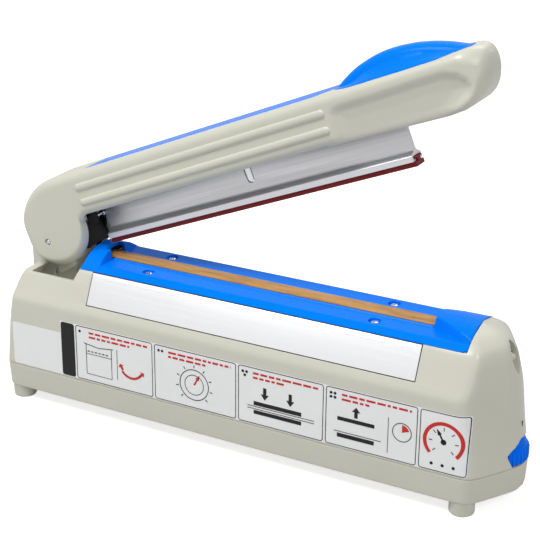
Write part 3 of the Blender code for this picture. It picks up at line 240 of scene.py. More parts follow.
def newMaterial(name, color, roughness, metallic=0.0, coat=0.0):
    material = bpy.data.materials.new(name)
    material.use_nodes = True
    nodes, links = material.node_tree.nodes, material.node_tree.links
    shader = nodes["Principled BSDF"]
    shader.inputs["Base Color"].default_value = (*color, 1)
    shader.inputs["Roughness"].default_value = roughness
    shader.inputs["Metallic"].default_value = metallic
    if coat:
        shader.inputs["Coat Weight"].default_value = coat
    material.diffuse_color = (*color, 1)
    return material, nodes, links, shader


def objectPoints(nodes, links, scale, lean=0.0):
    # lean turns the pattern with a piece that slopes up in x and z
    place = nodes.new("ShaderNodeTexCoord")
    mapping = nodes.new("ShaderNodeMapping")
    mapping.vector_type = "TEXTURE"
    mapping.inputs["Scale"].default_value = [1 / value for value in scale]
    mapping.inputs["Rotation"].default_value = (0, math.radians(-lean), 0)
    links.new(place.outputs["Object"], mapping.inputs["Vector"])
    return mapping.outputs["Vector"]


def noise(nodes, links, vector, scale, detail=2.0, roughness=0.5):
    node = nodes.new("ShaderNodeTexNoise")
    node.inputs["Scale"].default_value = scale
    node.inputs["Detail"].default_value = detail
    node.inputs["Roughness"].default_value = roughness
    links.new(vector, node.inputs["Vector"])
    return node.outputs["Fac"]


def ramp(nodes, links, source, stops):
    node = nodes.new("ShaderNodeValToRGB")
    elements = node.color_ramp.elements
    while len(elements) < len(stops):
        elements.new(0.5)
    for element, (place, color) in zip(elements, stops):
        element.position = place
        element.color = (*color, 1)
    links.new(source, node.inputs["Fac"])
    return node.outputs["Color"]


def grey(value):
    return (value, value, value)


def mathNode(nodes, links, operation, a, b=None, c=None):
    node = nodes.new("ShaderNodeMath")
    node.operation = operation
    for index, value in enumerate((a, b, c)):
        if value is None:
            continue
        if isinstance(value, (int, float)):
            node.inputs[index].default_value = value
        else:
            links.new(value, node.inputs[index])
    return node.outputs[0]


def bump(nodes, links, shader, height, strength, distance):
    node = nodes.new("ShaderNodeBump")
    node.inputs["Strength"].default_value = strength
    node.inputs["Distance"].default_value = distance
    links.new(height, node.inputs["Height"])
    links.new(node.outputs["Normal"], shader.inputs["Normal"])
    return node


def mouldedPlastic(name, color, shade, roughness, coat=0.0, grain=0.00003, gleam=0.5):
    # moulded plastic: a little uneven in colour and gloss, with a fine grain
    material, nodes, links, shader = newMaterial(name, color, roughness, 0.0, coat)
    shader.inputs["Specular IOR Level"].default_value = gleam
    points = objectPoints(nodes, links, (1, 1, 1))
    cloud = noise(nodes, links, points, 22, 3)
    tone = ramp(nodes, links, cloud, [(0.25, shade), (0.75, color)])
    links.new(tone, shader.inputs["Base Color"])
    speck = noise(nodes, links, points, 900, 2)
    gloss = ramp(nodes, links, speck, [(0.3, grey(roughness - 0.05)), (0.7, grey(roughness + 0.07))])
    links.new(gloss, shader.inputs["Roughness"])
    bump(nodes, links, shader, speck, 0.2, grain)
    return material


def drawnMetal(name, color, roughness, stretch, grain=0.00004, dark=0.82, metallic=1.0, lean=0.0):
    # metal drawn along its length: long fine streaks in colour, gloss and bump
    material, nodes, links, shader = newMaterial(name, color, roughness, metallic)
    points = objectPoints(nodes, links, stretch, lean)
    streak = noise(nodes, links, points, 1200, 3, 0.6)
    tone = ramp(nodes, links, streak, [(0.3, tuple(c * dark for c in color)), (0.7, color)])
    links.new(tone, shader.inputs["Base Color"])
    gloss = ramp(nodes, links, streak, [(0.3, grey(roughness + 0.10)), (0.7, grey(roughness - 0.05))])
    links.new(gloss, shader.inputs["Roughness"])
    bump(nodes, links, shader, streak, 0.25, grain)
    return material


beige = mouldedPlastic("beigeMoulding", (0.610, 0.607, 0.520), (0.590, 0.587, 0.500), 0.34)
beigePan = mouldedPlastic("beigePan", (0.595, 0.592, 0.505), (0.575, 0.572, 0.485), 0.40)
blue = mouldedPlastic("blueMoulding", (0.000, 0.205, 0.930), (0.000, 0.195, 0.910), 0.24, 0.0, 0.000001, 0.05)
blueDial = mouldedPlastic("blueDial", (0.000, 0.175, 0.980), (0.000, 0.160, 0.940), 0.30, 0.0, 0.000002, 0.05)
blackPlastic = mouldedPlastic("blackPlastic", (0.020, 0.020, 0.021), (0.014, 0.014, 0.015), 0.45, 0.0, 0.00003, 0.2)
aluminium = drawnMetal("drawnAluminium", (0.87, 0.875, 0.89), 0.46, (0.012, 1, 1), 0.000004, 0.95, 0.7)
barAluminium = drawnMetal("barAluminium", (0.72, 0.72, 0.745), 0.42, (0.012, 1, 1), 0.000006, 0.90, 0.8, armAngle - barTilt)
steel = drawnMetal("brightSteel", (0.72, 0.73, 0.75), 0.24, (1, 1, 1), 0.00001, 0.9)
brass = drawnMetal("brassBlock", (0.72, 0.50, 0.20), 0.30, (1, 1, 1), 0.00001, 0.9)
blackSteel = mouldedPlastic("blackSteel", (0.009, 0.009, 0.010), (0.008, 0.008, 0.009), 0.42, 0.0, 0.00003, 0.12)
lensClear = mouldedPlastic("lensClear", (0.62, 0.60, 0.52), (0.50, 0.48, 0.42), 0.14, 0.8, 0.00001)
# darker beige for the lamp holder: painted shade of the lamp recess it sits in
recessShadeBeige = mouldedPlastic("recessShadeBeige", (0.30, 0.29, 0.24), (0.26, 0.25, 0.21), 0.5)
lensRed = mouldedPlastic("lensRed", (0.30, 0.012, 0.012), (0.26, 0.010, 0.010), 0.12, 0.6, 0.00001)


def nonStickTape():
    # coated glass cloth: a fine weave under a brown film, darker where the heat has worked
    settings = {"light": (0.47, 0.235, 0.055), "dark": (0.28, 0.125, 0.028), "thread": 1500}
    material, nodes, links, shader = newMaterial("nonStickTape", settings["light"], 0.42)
    points = objectPoints(nodes, links, (1, 1, 1))
    long = objectPoints(nodes, links, (0.16, 1, 1))
    mottle = noise(nodes, links, long, 260, 4, 0.65)
    tone = ramp(nodes, links, mottle, [(0.30, settings["dark"]), (0.52, settings["light"]), (0.75, (0.52, 0.29, 0.11))])
    links.new(tone, shader.inputs["Base Color"])
    split = nodes.new("ShaderNodeSeparateXYZ")
    links.new(points, split.inputs[0])
    warp = mathNode(nodes, links, "SINE", mathNode(nodes, links, "MULTIPLY", split.outputs["X"], settings["thread"] * 6))
    weft = mathNode(nodes, links, "SINE", mathNode(nodes, links, "MULTIPLY", split.outputs["Y"], settings["thread"] * 6))
    bump(nodes, links, shader, mathNode(nodes, links, "MULTIPLY", warp, weft), 0.2, 0.00005)
    return material


def redSilicone():
    material, nodes, links, shader = newMaterial("redSilicone", (0.240, 0.012, 0.010), 0.50)
    shader.inputs["Specular IOR Level"].default_value = 0.2
    points = objectPoints(nodes, links, (0.2, 1, 1))
    cloud = noise(nodes, links, points, 300, 3)
    links.new(ramp(nodes, links, cloud, [(0.3, (0.165, 0.009, 0.008)), (0.7, (0.225, 0.014, 0.012))]), shader.inputs["Base Color"])
    bump(nodes, links, shader, cloud, 0.2, 0.00004)
    return material


def stickerStock(name, color, roughness):
    material, nodes, links, shader = newMaterial(name, color, roughness)
    shader.inputs["Specular IOR Level"].default_value = 0.25
    cloud = noise(nodes, links, objectPoints(nodes, links, (1, 1, 1)), 60, 2)
    links.new(ramp(nodes, links, cloud, [(0.2, tuple(c * 0.97 for c in color)), (0.8, color)]), shader.inputs["Base Color"])
    return material


def striped(name, first, second, roughness, pitch, axis, metallic=0.0):
    # laminations, tape turns or board tracks, in even stripes
    material, nodes, links, shader = newMaterial(name, first, roughness, metallic)
    split = nodes.new("ShaderNodeSeparateXYZ")
    links.new(objectPoints(nodes, links, (1, 1, 1)), split.inputs[0])
    wave = mathNode(nodes, links, "SINE", mathNode(nodes, links, "MULTIPLY", split.outputs[axis], 2 * math.pi / pitch))
    half = mathNode(nodes, links, "MULTIPLY_ADD", wave, 0.5, 0.5)
    links.new(ramp(nodes, links, half, [(0.35, first), (0.65, second)]), shader.inputs["Base Color"])
    bump(nodes, links, shader, half, 0.3, 0.00005)
    return material


tape = nonStickTape()
silicone = redSilicone()
bedBoard = mouldedPlastic("bedBoard", (0.50, 0.38, 0.27), (0.45, 0.34, 0.24), 0.7)
laminations = striped("laminations", (0.16, 0.16, 0.17), (0.26, 0.26, 0.27), 0.4, 0.001, "Y", 0.8)
coilTape = striped("coilTape", (0.55, 0.42, 0.05), (0.50, 0.37, 0.04), 0.55, 0.006, "Z")
boardGreen = striped("boardGreen", (0.02, 0.16, 0.06), (0.015, 0.12, 0.045), 0.45, 0.004, "X")
stickerWhite = stickerStock("stickerWhite", (0.84, 0.845, 0.85), 0.35)
inkBlack = stickerStock("inkBlack", (0.008, 0.008, 0.009), 0.50)
inkRed = stickerStock("inkRed", (0.56, 0.030, 0.025), 0.40)
inkGrey = stickerStock("inkGrey", (0.42, 0.43, 0.44), 0.40)
print("materials made")

nodeFinish = {
    "beige_plastic": beige, "beige_pan": beigePan, "blue_plastic": blue, "brushed_aluminium": aluminium, "bright_steel": steel,
    "black_steel": blackSteel, "dark_plastic": blackPlastic, "brass": brass, "brown_tape": tape, "insulating_bed": bedBoard,
    "red_silicone": silicone, "red_lens": lensRed, "transformer_steel": laminations, "coil_tape": coilTape, "circuit_board": boardGreen,
}
for part in frame["record"]["subparts"]:
    node = frame["nodes"][part["node"]]
    node.data.materials.clear()
    node.data.materials.append(nodeFinish[part["material_slot"]])
print("kept nodes finished")


# Geometry Nodes helpers

def newTree(name, inputs):
    tree = bpy.data.node_groups.new(name, "GeometryNodeTree")
    tree.interface.new_socket("Geometry", in_out="INPUT", socket_type="NodeSocketGeometry")
    for label, kind, value in inputs:
        socket = tree.interface.new_socket(label, in_out="INPUT", socket_type="NodeSocket" + kind)
        if value is not None:
            socket.default_value = value
    tree.interface.new_socket("Geometry", in_out="OUTPUT", socket_type="NodeSocketGeometry")
    return tree, tree.nodes.new("NodeGroupInput"), tree.nodes.new("NodeGroupOutput")


def endTree(tree, source, start, end):
    # every tree ends in real geometry with its finish set
    real = tree.nodes.new("GeometryNodeRealizeInstances")
    finish = tree.nodes.new("GeometryNodeSetMaterial")
    tree.links.new(source, real.inputs["Geometry"])
    tree.links.new(real.outputs["Geometry"], finish.inputs["Geometry"])
    tree.links.new(start.outputs["Finish"], finish.inputs["Material"])
    tree.links.new(finish.outputs["Geometry"], end.inputs["Geometry"])
    return tree


def runTree(obj, tree, values):
    change = obj.modifiers.new(tree.name, "NODES")
    change.node_group = tree
    for item in tree.interface.items_tree:
        if item.in_out == "INPUT" and item.name in values:
            change[item.identifier] = values[item.name]
    bpy.context.view_layer.update()
    return applyAll(obj)


def screwPlacesTree():
    # four copies at the corners of a frame whose two ends may differ in width
    inputs = [("Spacing along", "Float", 100.0), ("Rear width", "Float", 20.0), ("Nose width", "Float", 20.0)]
    inputs += [("Seed", "Int", 3), ("Finish", "Material", None)]
    tree, start, end = newTree("screwPlaces", inputs)
    nodes, links = tree.nodes, tree.links
    grid = nodes.new("GeometryNodeMeshGrid")
    grid.inputs["Vertices X"].default_value = 2
    grid.inputs["Vertices Y"].default_value = 2
    grid.inputs["Size Y"].default_value = 1.0
    links.new(start.outputs["Spacing along"], grid.inputs["Size X"])
    place = nodes.new("GeometryNodeInputPosition")
    split = nodes.new("ShaderNodeSeparateXYZ")
    links.new(place.outputs[0], split.inputs[0])
    share = mathNode(nodes, links, "DIVIDE", split.outputs["X"], start.outputs["Spacing along"])
    share = mathNode(nodes, links, "ADD", share, 0.5)
    change = mathNode(nodes, links, "SUBTRACT", start.outputs["Nose width"], start.outputs["Rear width"])
    width = mathNode(nodes, links, "MULTIPLY_ADD", share, change, start.outputs["Rear width"])
    spread = nodes.new("ShaderNodeCombineXYZ")
    links.new(split.outputs["X"], spread.inputs["X"])
    links.new(mathNode(nodes, links, "MULTIPLY", split.outputs["Y"], width), spread.inputs["Y"])
    move = nodes.new("GeometryNodeSetPosition")
    links.new(grid.outputs["Mesh"], move.inputs["Geometry"])
    links.new(spread.outputs[0], move.inputs["Position"])
    chance = nodes.new("FunctionNodeRandomValue")
    chance.data_type = "FLOAT_VECTOR"
    chance.inputs["Max"].default_value = (0, 0, 6.28)
    links.new(start.outputs["Seed"], chance.inputs["Seed"])
    copies = nodes.new("GeometryNodeInstanceOnPoints")
    links.new(move.outputs["Geometry"], copies.inputs["Points"])
    links.new(start.outputs["Geometry"], copies.inputs["Instance"])
    links.new(chance.outputs["Value"], copies.inputs["Rotation"])
    return endTree(tree, copies.outputs["Instances"], start, end)


def ribRingTree():
    # ribs evenly round a rim
    inputs = [("Count", "Int", 36), ("Rim radius", "Float", 10.0), ("Finish", "Material", None)]
    tree, start, end = newTree("ribRing", inputs)
    nodes, links = tree.nodes, tree.links
    ring = nodes.new("GeometryNodeMeshCircle")
    links.new(start.outputs["Count"], ring.inputs["Vertices"])
    links.new(start.outputs["Rim radius"], ring.inputs["Radius"])
    place = nodes.new("GeometryNodeInputPosition")
    split = nodes.new("ShaderNodeSeparateXYZ")
    links.new(place.outputs[0], split.inputs[0])
    turn = nodes.new("ShaderNodeCombineXYZ")
    links.new(mathNode(nodes, links, "ARCTAN2", split.outputs["Y"], split.outputs["X"]), turn.inputs["Z"])
    copies = nodes.new("GeometryNodeInstanceOnPoints")
    links.new(ring.outputs["Mesh"], copies.inputs["Points"])
    links.new(start.outputs["Geometry"], copies.inputs["Instance"])
    links.new(turn.outputs[0], copies.inputs["Rotation"])
    return endTree(tree, copies.outputs["Instances"], start, end)


def drawnLengthTree():
    # a flat section drawn out to its length, as an extrusion is
    tree, start, end = newTree("drawnLength", [("Length", "Float", 100.0), ("Finish", "Material", None)])
    nodes, links = tree.nodes, tree.links
    draw = nodes.new("GeometryNodeExtrudeMesh")
    links.new(start.outputs["Geometry"], draw.inputs["Mesh"])
    links.new(start.outputs["Length"], draw.inputs["Offset Scale"])
    back = nodes.new("GeometryNodeFlipFaces")
    links.new(start.outputs["Geometry"], back.inputs["Mesh"])
    both = nodes.new("GeometryNodeJoinGeometry")
    links.new(draw.outputs["Mesh"], both.inputs["Geometry"])
    links.new(back.outputs["Mesh"], both.inputs["Geometry"])
    weld = nodes.new("GeometryNodeMergeByDistance")
    weld.inputs["Distance"].default_value = 0.001
    links.new(both.outputs["Geometry"], weld.inputs["Geometry"])
    return endTree(tree, weld.outputs["Geometry"], start, end)


screwPlaces = screwPlacesTree()
ribRing = ribRingTree()
drawnLength = drawnLengthTree()


def drawnPiece(name, section, start, length, material):
    # section in y and z, drawn along x
    obj = meshFrom(name, [(start, y, z) for y, z in section], [tuple(range(len(section)))])
    if obj.data.polygons[0].normal.x < 0:
        obj.data.flip_normals()
    runTree(obj, drawnLength, {"Length": length, "Finish": material})
    return fixNormals(obj)


def crossScrew(name, radius, head, shank, length, slot):
    # head rises from z 0, with a cross recess; the shank goes down
    profile = [(0, head), (radius * 0.45, head * 0.98), (radius * 0.75, head * 0.82), (radius * 0.93, head * 0.5)]
    profile += [(radius, head * 0.15), (radius, 0), (shank, 0), (shank, -length), (0, -length)]
    screw = lathe(name, profile, (0, 0, 0), 32)
    for turn in (0, 1):
        size = (slot[0] / 2, slot[1] / 2) if turn == 0 else (slot[1] / 2, slot[0] / 2)
        carve(screw, block("slot", (-size[0], -size[1], head - slot[2]), (size[0], size[1], head + 1)))
    return screw


# Base housing

housing = {
    "length": 324.0, "halfWidth": 36.0, "parting": 24.0, "crown": 100.3, "rearLean": 13.9, "noseLean": 26.1, "corner": 4.5,
    "wall": 2.2, "seat": 90.7, "lip": 83.2, "pocketFloor": 72.0, "pocketFront": 48.4, "pocketHalf": 24.5,
    "coverStart": 51.7, "coverEnd": 294.9, "soften": 1.6, "edge": 0.45,
}
# height, share of the half width, of the rear lean, of the nose lean, run of the nose
housingShape = [
    (24.0, 1.000, 0.020, 0.000, 0.74), (38.0, 0.993, 0.125, 0.090, 0.74), (52.0, 0.986, 0.235, 0.160, 0.74),
    (60.0, 0.982, 0.325, 0.190, 0.73), (68.0, 0.978, 0.435, 0.230, 0.72), (73.0, 0.903, 0.520, 0.268, 0.68),
    (79.0, 0.822, 0.635, 0.322, 0.66), (85.0, 0.744, 0.850, 0.380, 0.64), (91.0, 0.657, 1.400, 0.490, 0.62),
    (92.6, 0.592, 1.600, 0.559, 0.62), (95.0, 0.494, 1.750, 0.682, 0.62), (97.4, 0.381, 1.900, 0.881, 0.62),
    (99.0, 0.269, 2.000, 1.038, 0.62), (99.9, 0.156, 2.050, 1.084, 0.60), (100.3, 0.060, 2.100, 1.100, 0.60),
]
noseShape = [
    (0.000, 1.000), (0.158, 0.992), (0.289, 0.950), (0.383, 0.875), (0.455, 0.800), (0.643, 0.595),
    (0.786, 0.420), (0.900, 0.290), (0.955, 0.215), (0.985, 0.145), (1.000, 0.000),
]


def housingRing(z, sideIn=0.0, endIn=0.0, rear=None, at=None):
    level = z if at is None else at
    spread = min(housing["soften"], max(0.0, housing["crown"] - level))
    halfShare, rearShare, noseShare, runShare = softTable(housingShape, level, spread)
    half = halfShare * housing["halfWidth"] - sideIn
    back = rearShare * housing["rearLean"] + endIn if rear is None else rear
    tip = housing["length"] - noseShare * housing["noseLean"] - endIn
    run = min(runShare * half, (tip - back) * 0.9)
    radius = min(housing["corner"], half * 0.8, (tip - run - back) * 0.8)
    lower = arc(back + radius, -half + radius, radius, 180, 270, 8)
    steps = 26
    for k in range(steps + 1):
        share = k / steps
        across = softTable([(a, b) for a, b in noseShape] + [(1.05, -0.1)], share, min(0.035, share))[0]
        if k == steps:
            across = 0.0
        lower.append((tip - run + share * run, -half * max(across, 0.0)))
    upper = [(x, -y) for x, y in reversed(lower[:-1])]
    return [(x, y, z) for x, y in lower + upper]


def eyeOutline(cy, cz, width, height, steps=18, blunt=0.9):
    points = []
    for side in (1, -1):
        for k in range(steps + 1):
            share = side * (-1 + 2 * k / steps)
            points.append((cy + side * width / 2 * (1 - blunt * share * share), cz + height / 2 * share))
    return points


def shoulderFrame(side):
    low = Vector((61.5, side * 32.5, 73.0))
    high = Vector((61.5, side * 24.2, 90.6))
    up = (high - low).normalized()
    out = Vector((0, side * up.z, -side * up.y)).normalized()
    return Matrix.Translation(low) @ Matrix((Vector((1, 0, 0)), up, out)).transposed().to_4x4(), (high - low).length


def shoulderSlab(name, side, grow, low, high):
    place, height = shoulderFrame(side)
    slab = block(name, (-grow, -grow, -high), (209.0 + grow, height + grow, -low))
    slab.data.transform(place)
    return fixNormals(slab)


def dialProfile(gap, low):
    return [(0, 18.7 + gap), (8.0 + gap, 18.7 + gap), (12.4 + gap, 14.5 + gap / 2), (16.45 + gap, 6.7 + gap / 2), (16.45 + gap, low), (0, low)]


def buildHousing():
    h = housing
    levels = [24.15] + [26 + 2 * k for k in range(20)] + [65, 66, 67, 68, 69, 70, 71, 72, 73, 74, 75, 76, 77.5, 79, 81, 83, 85, 87, 89, 90.5, 91.5, 92.5]
    levels += [93.5, 94.5, 95.4, 96.2, 97.0, 97.7, 98.3, 98.8, 99.2, 99.55, 99.8, 100.0, 100.15, 100.26]
    shell = loftRings("housing", [housingRing(z) for z in levels])
    seat = [(-10, h["lip"]), (h["pocketFront"], h["lip"]), (h["coverStart"] - 0.3, h["seat"]), (h["coverEnd"] + 0.3, h["seat"]), (h["coverEnd"] + 0.3, 120), (-10, 120)]
    carve(shell, flatShape("seat", seat, -50, 50))
    rings = [housingRing(z, 2.4, 2.4) for z in (10, 30, 52, 66, 69.8)]
    carve(shell, loftRings("space", rings))
    rings = [housingRing(z, 4.2, 2.2, 52.8) for z in (67.6, 73, 79, 86)]
    carve(shell, loftRings("space", rings))
    boss = flatShape("boss", eyeOutline(0, 83.1, 12.4, 22.2), 304, 340, "YZ")
    carve(boss, loftRings("bossSkin", [housingRing(z, 0.9, 0.9, 290) for z in (70, 74, 78, 82, 86, 90, 93, 96)]), "INTERSECT")
    carve(shell, boss, "UNION")
    carve(shell, rod("lampRoom", 3.3, (299, 0, 83.1), 12, "X"))
    pocket = [(16.1, 95), (16.1, 83.2), (11.3, 76.8), (11.3, h["pocketFloor"]), (h["pocketFront"], h["pocketFloor"]), (h["pocketFront"], 95)]
    carve(shell, flatShape("pocket", pocket, -h["pocketHalf"], h["pocketHalf"]))
    for side in (-1, 1):
        carve(shell, shoulderSlab("panelSeat", side, 0.55, -10, 1.9))
    knuckle = arc(hingeX, hingeZ, 19.5, 180, -48.2, 60) + [(hingeX + 13.0, 71), (hingeX - 19.5, 71)]
    carve(shell, flatShape("knuckle", knuckle, -7.2, 7.2), "UNION")
    carve(shell, rod("bore", 2.55, (hingeX, -40, hingeZ), 80, "Y"))
    slot = arc(hingeX + 11.6, hingeZ + 12.7, 3.1, 90, 270, 10) + [(70, hingeZ + 9.6), (70, hingeZ + 15.8)]
    carve(shell, flatShape("slot", slot, -1.4, 1.4))
    carve(shell, lathe("window", dialProfile(0.7, -10), (307.95, 0, 24.3), 120))
    carve(shell, flatShape("eye", eyeOutline(0, 83.1, 9.2, 18.6), 308.6, 335, "YZ"))
    carve(shell, rod("glandHole", 5.7, (-10, 18, 40), 14, "X"))
    for x in (93.2, 238.3):
        for side in (-1, 1):
            carve(shell, rod("screwHole", 1.7, (x, side * 13.1, 70), 30, sides=20))
    carve(shell, block("leverSlot", (18.7, -12.5, 60), (27.0, -8.9, 74)))
    softenEdges(shell, h["edge"], 36, 2)
    return finishPiece(shell, "housing", beige, "base", ["base_housing"], 32)


buildHousing()
print("housing made")

# Bottom pan with its feet

pan = {
    "low": 8.3, "height": 15.55, "draft": 0.7, "round": 1.1, "flare": 0.2, "wall": 2.0, "footRadius": 7.07,
    "footPlaces": ((7.3, 27.7), (298.8, 27.7)), "screwPlaces": ((22.0, 24.0), (286.4, 17.0)), "edge": 0.35,
}


def panInset(rise):
    turn = max(0.0, 1 - rise / pan["round"])
    return pan["draft"] * (1 - rise / 15.7) + pan["round"] * (1 - math.sqrt(max(0.0, 1 - turn * turn)))


def buildPan():
    p = pan
    rings = []
    for rise in (0, 0.1, 0.25, 0.45, 0.75, 1.1, 3, 5, 8, 11, 14, p["height"]):
        inset = panInset(rise)
        nose = inset + p["flare"] * (1 - rise / 15.7)
        rings.append(housingRing(p["low"] + rise, inset, nose, inset + 0.28, 24.0))
    body = loftRings("bottomPan", rings)
    inset = p["wall"] + p["draft"]
    rings = [housingRing(z, inset, inset + p["flare"], inset + 0.28, 24.0) for z in (p["low"] + p["wall"], 30)]
    carve(body, loftRings("space", rings))
    r = p["footRadius"]
    for x, across in p["footPlaces"]:
        for side in (-1, 1):
            profile = [(0, 0), (r - 1.3, 0), (r - 0.5, 0.25), (r - 0.12, 0.7), (r, 1.4), (r, p["low"] + 1.2), (0, p["low"] + 1.2)]
            carve(body, lathe("foot", profile, (x, side * across, 0), 48), "UNION")
    for x, across in p["screwPlaces"]:
        for side in (-1, 1):
            carve(body, rod("recess", 3.3, (x, side * across, 5), 4.6, sides=32))
            carve(body, rod("hole", 1.8, (x, side * across, 5), 9, sides=20))
    for x in (196, 274):
        for side in (-1, 1):
            carve(body, rod("standoff", 3.0, (x, side * 20, 9.6), 12.4, sides=24), "UNION")
    carve(body, block("switchPost", (10, -14, 9.6), (30, -8, 42.5)), "UNION")
    softenEdges(body, p["edge"], 40, 2)
    finishPiece(body, "bottomPan", beigePan, "base", ["bottom_pan"], 32)


def buildPanScrews():
    screw = crossScrew("panScrews", 3.0, 1.2, 1.5, 20.5, (3.6, 0.8, 0.7))
    for vertex in screw.data.vertices:
        vertex.co.z *= -1
    fixNormals(screw)
    runTree(screw, screwPlaces, {"Spacing along": 264.4, "Rear width": 48.0, "Nose width": 34.0, "Seed": 5, "Finish": steel})
    screw.data.transform(Matrix.Translation((154.2, 0, 9.5)))
    finishPiece(screw, "panScrews", steel, "base", [f"pan_screw_{k}" for k in (1, 2, 3, 4)], 40)


buildPan()
buildPanScrews()
print("pan made")


# Blue top cover: a hood at each end and a trough between them

cover = {
    "start": 51.7, "end": 294.9, "half": 23.65, "low": 91.0, "rearFace": (62.5, 63.9), "frontFace": (269.6, 271.0),
    "trough": 93.4, "platform": 94.2, "platformHalf": 6.6, "corner": 3.4, "screwLine": (93.2, 238.3), "screwSide": 13.1,
}
archTable = [(0, 100.3), (5.6, 99.9), (9.7, 99.0), (13.7, 97.4), (17.8, 95.0), (21.3, 92.6), (23.65, 91.2)]
troughTable = [(0, 94.2), (6.45, 94.2), (6.75, 93.4), (18.6, 93.4), (19.4, 93.15), (21.3, 92.2), (23.65, 91.2)]
flankTable = [(0, 93.4), (18.6, 93.4), (19.4, 93.15), (21.3, 92.2), (23.65, 91.2)]


def smooth(value):
    value = min(max(value, 0.0), 1.0)
    return value * value * (3 - 2 * value)


def coverHeight(x, y):
    c = cover
    side = abs(y)
    arch = softTable(archTable, side, min(1.3, side, 23.65 - side))[0]
    trough = softTable(troughTable, side, 0.12)[0]
    if x < 166:
        return arch + (trough - arch) * smooth((x - c["rearFace"][0]) / (c["rearFace"][1] - c["rearFace"][0]))
    flank = softTable(flankTable, side, 0.4)[0]
    width = 7.2 + 10.5 * max(0.0, x - 271) / 23.9
    front = flank + (arch - flank) * smooth((width - side) / 1.7 + 0.5)
    return trough + (front - trough) * smooth((x - c["frontFace"][0]) / (c["frontFace"][1] - c["frontFace"][0]))


def coverHalf(x):
    c = cover
    past = max(0.0, x - (c["end"] - c["corner"]))
    return c["half"] - (c["corner"] - math.sqrt(max(0.0, c["corner"] ** 2 - past * past)))


def coverStops():
    stops = [51.7, 51.85, 52.1, 53, 55, 57, 58, 59, 60, 61, 62, 62.5]
    stops += [62.5 + 0.2 * k for k in range(1, 8)] + [64.3, 66]
    stops += [66 + 4 * k for k in range(1, 51)] + [268.5, 269.3, 269.6]
    stops += [269.6 + 0.2 * k for k in range(1, 8)] + [271.4, 272]
    stops += [272 + 1.0 * k for k in range(1, 20)] + [291.5 + 0.4 * k for k in range(1, 9)] + [294.8]
    return stops


def buildCover():
    c = cover
    rings = []
    for x in coverStops():
        half = coverHalf(x)
        across = [half * math.sin(math.pi / 2 * k / 55) ** 0.9 for k in range(56)]
        ys = [-y for y in reversed(across[1:])] + across
        drop = 0.25 if x in (51.7, 294.8) else 0.0
        ring = [(x, y, max(coverHeight(x, y) - drop, c["low"] + 0.1)) for y in ys]
        ring += [(x, half * k / 3, c["low"]) for k in (3, 2, 1, 0, -1, -2, -3)]
        rings.append(ring)
    shell = loftRings("topCover", rings)
    for low, high in ((53.7, 61.5), (273.0, 292.9)):
        ring = [(y * 0.9, z - 2.0) for y, z in archTable[:-1]] + [(19.2, 80)]
        if low > 100:
            ring = [(5.6, 97.6), (7.2, 91.3), (19.2, 91.2), (19.2, 80)]
            ring = [(0, 98.0)] + ring
        loop = [(-y, z) for y, z in reversed(ring[1:])] + ring
        carve(shell, flatShape("hoodRoom", loop, low, high, "YZ"))
    carve(shell, block("bedChannel", (56.6, -5.7, 80), (273.3, 5.7, 95.4)))
    carve(shell, block("notch", (56.9, -6.9, 93.4), (64.2, 6.9, 97.4)))
    carve(shell, block("notch", (59.4, -6.9, 93.4), (64.2, 6.9, 120)))
    for x in c["screwLine"]:
        for side in (-1, 1):
            dish = [(0, -1.7), (3.3, -1.7), (3.5, -1.5), (3.5, -0.25), (3.8, 0.05), (3.8, 3), (0, 3)]
            carve(shell, lathe("dish", dish, (x, side * c["screwSide"], c["trough"]), 40))
            carve(shell, rod("hole", 1.7, (x, side * c["screwSide"], 80), 20, sides=20))
    finishPiece(shell, "topCover", blue, "base", ["top_cover"], 28)


def buildCoverScrews():
    screw = crossScrew("coverScrews", 2.3, 1.0, 1.4, 6.8, (2.9, 0.7, 0.6))
    runTree(screw, screwPlaces, {"Spacing along": 145.1, "Rear width": 26.2, "Nose width": 26.2, "Seed": 2, "Finish": steel})
    screw.data.transform(Matrix.Translation((165.75, 0, 91.85)))
    finishPiece(screw, "coverScrews", steel, "base", [f"cover_screw_{k}" for k in (1, 2, 3, 4)], 40)


def buildNotchShadeSheet():
    # a thin black sheet at the back of the notch: painted shade, so the hood room seen through the notch looks dark
    shadeSheet = block("notchShadeSheet", (56.95, -6.8, 93.45), (57.15, 6.8, 97.3))
    softenEdges(shadeSheet, 0.1, 60, 1)
    finishPiece(shadeSheet, "notchShadeSheet", blackPlastic, "base", (), 30)


buildCover()
buildCoverScrews()
buildNotchShadeSheet()
print("cover made")


# Bright side panels with a fine line near the top

panel = {"length": 209.0, "thickness": 1.5, "groove": 16.2, "edge": 0.18}


def buildPanels():
    for side, name in ((-1, "near"), (1, "far")):
        place, height = shoulderFrame(side)
        g = panel["groove"]
        outline = [(0, 0), (0, -0.5), (height, -0.5), (height, 0)]
        outline += [(g + 0.28, 0), (g + 0.10, -0.2), (g - 0.10, -0.2), (g - 0.28, 0)]
        sheet = loftRings("sidePanel", [[(x, a, b) for a, b in outline] for x in (0, panel["length"])])
        sheet.data.transform(place)
        softenEdges(fixNormals(sheet), panel["edge"], 60, 2)
        title = name.capitalize()
        bed = shoulderSlab("panelBed" + title, side, 0.48, 0.55, 1.75)
        softenEdges(bed, 0.1, 60, 1)
        finishPiece(bed, "panelBed" + title, blackPlastic, "base", (), 30)
        finishPiece(sheet, "sidePanel" + title, aluminium, "base", ["side_panel_" + name], 30)


# Non-stick strip over the heating wire

strip = {"start": 57.2, "end": 271.0, "low": 94.3}


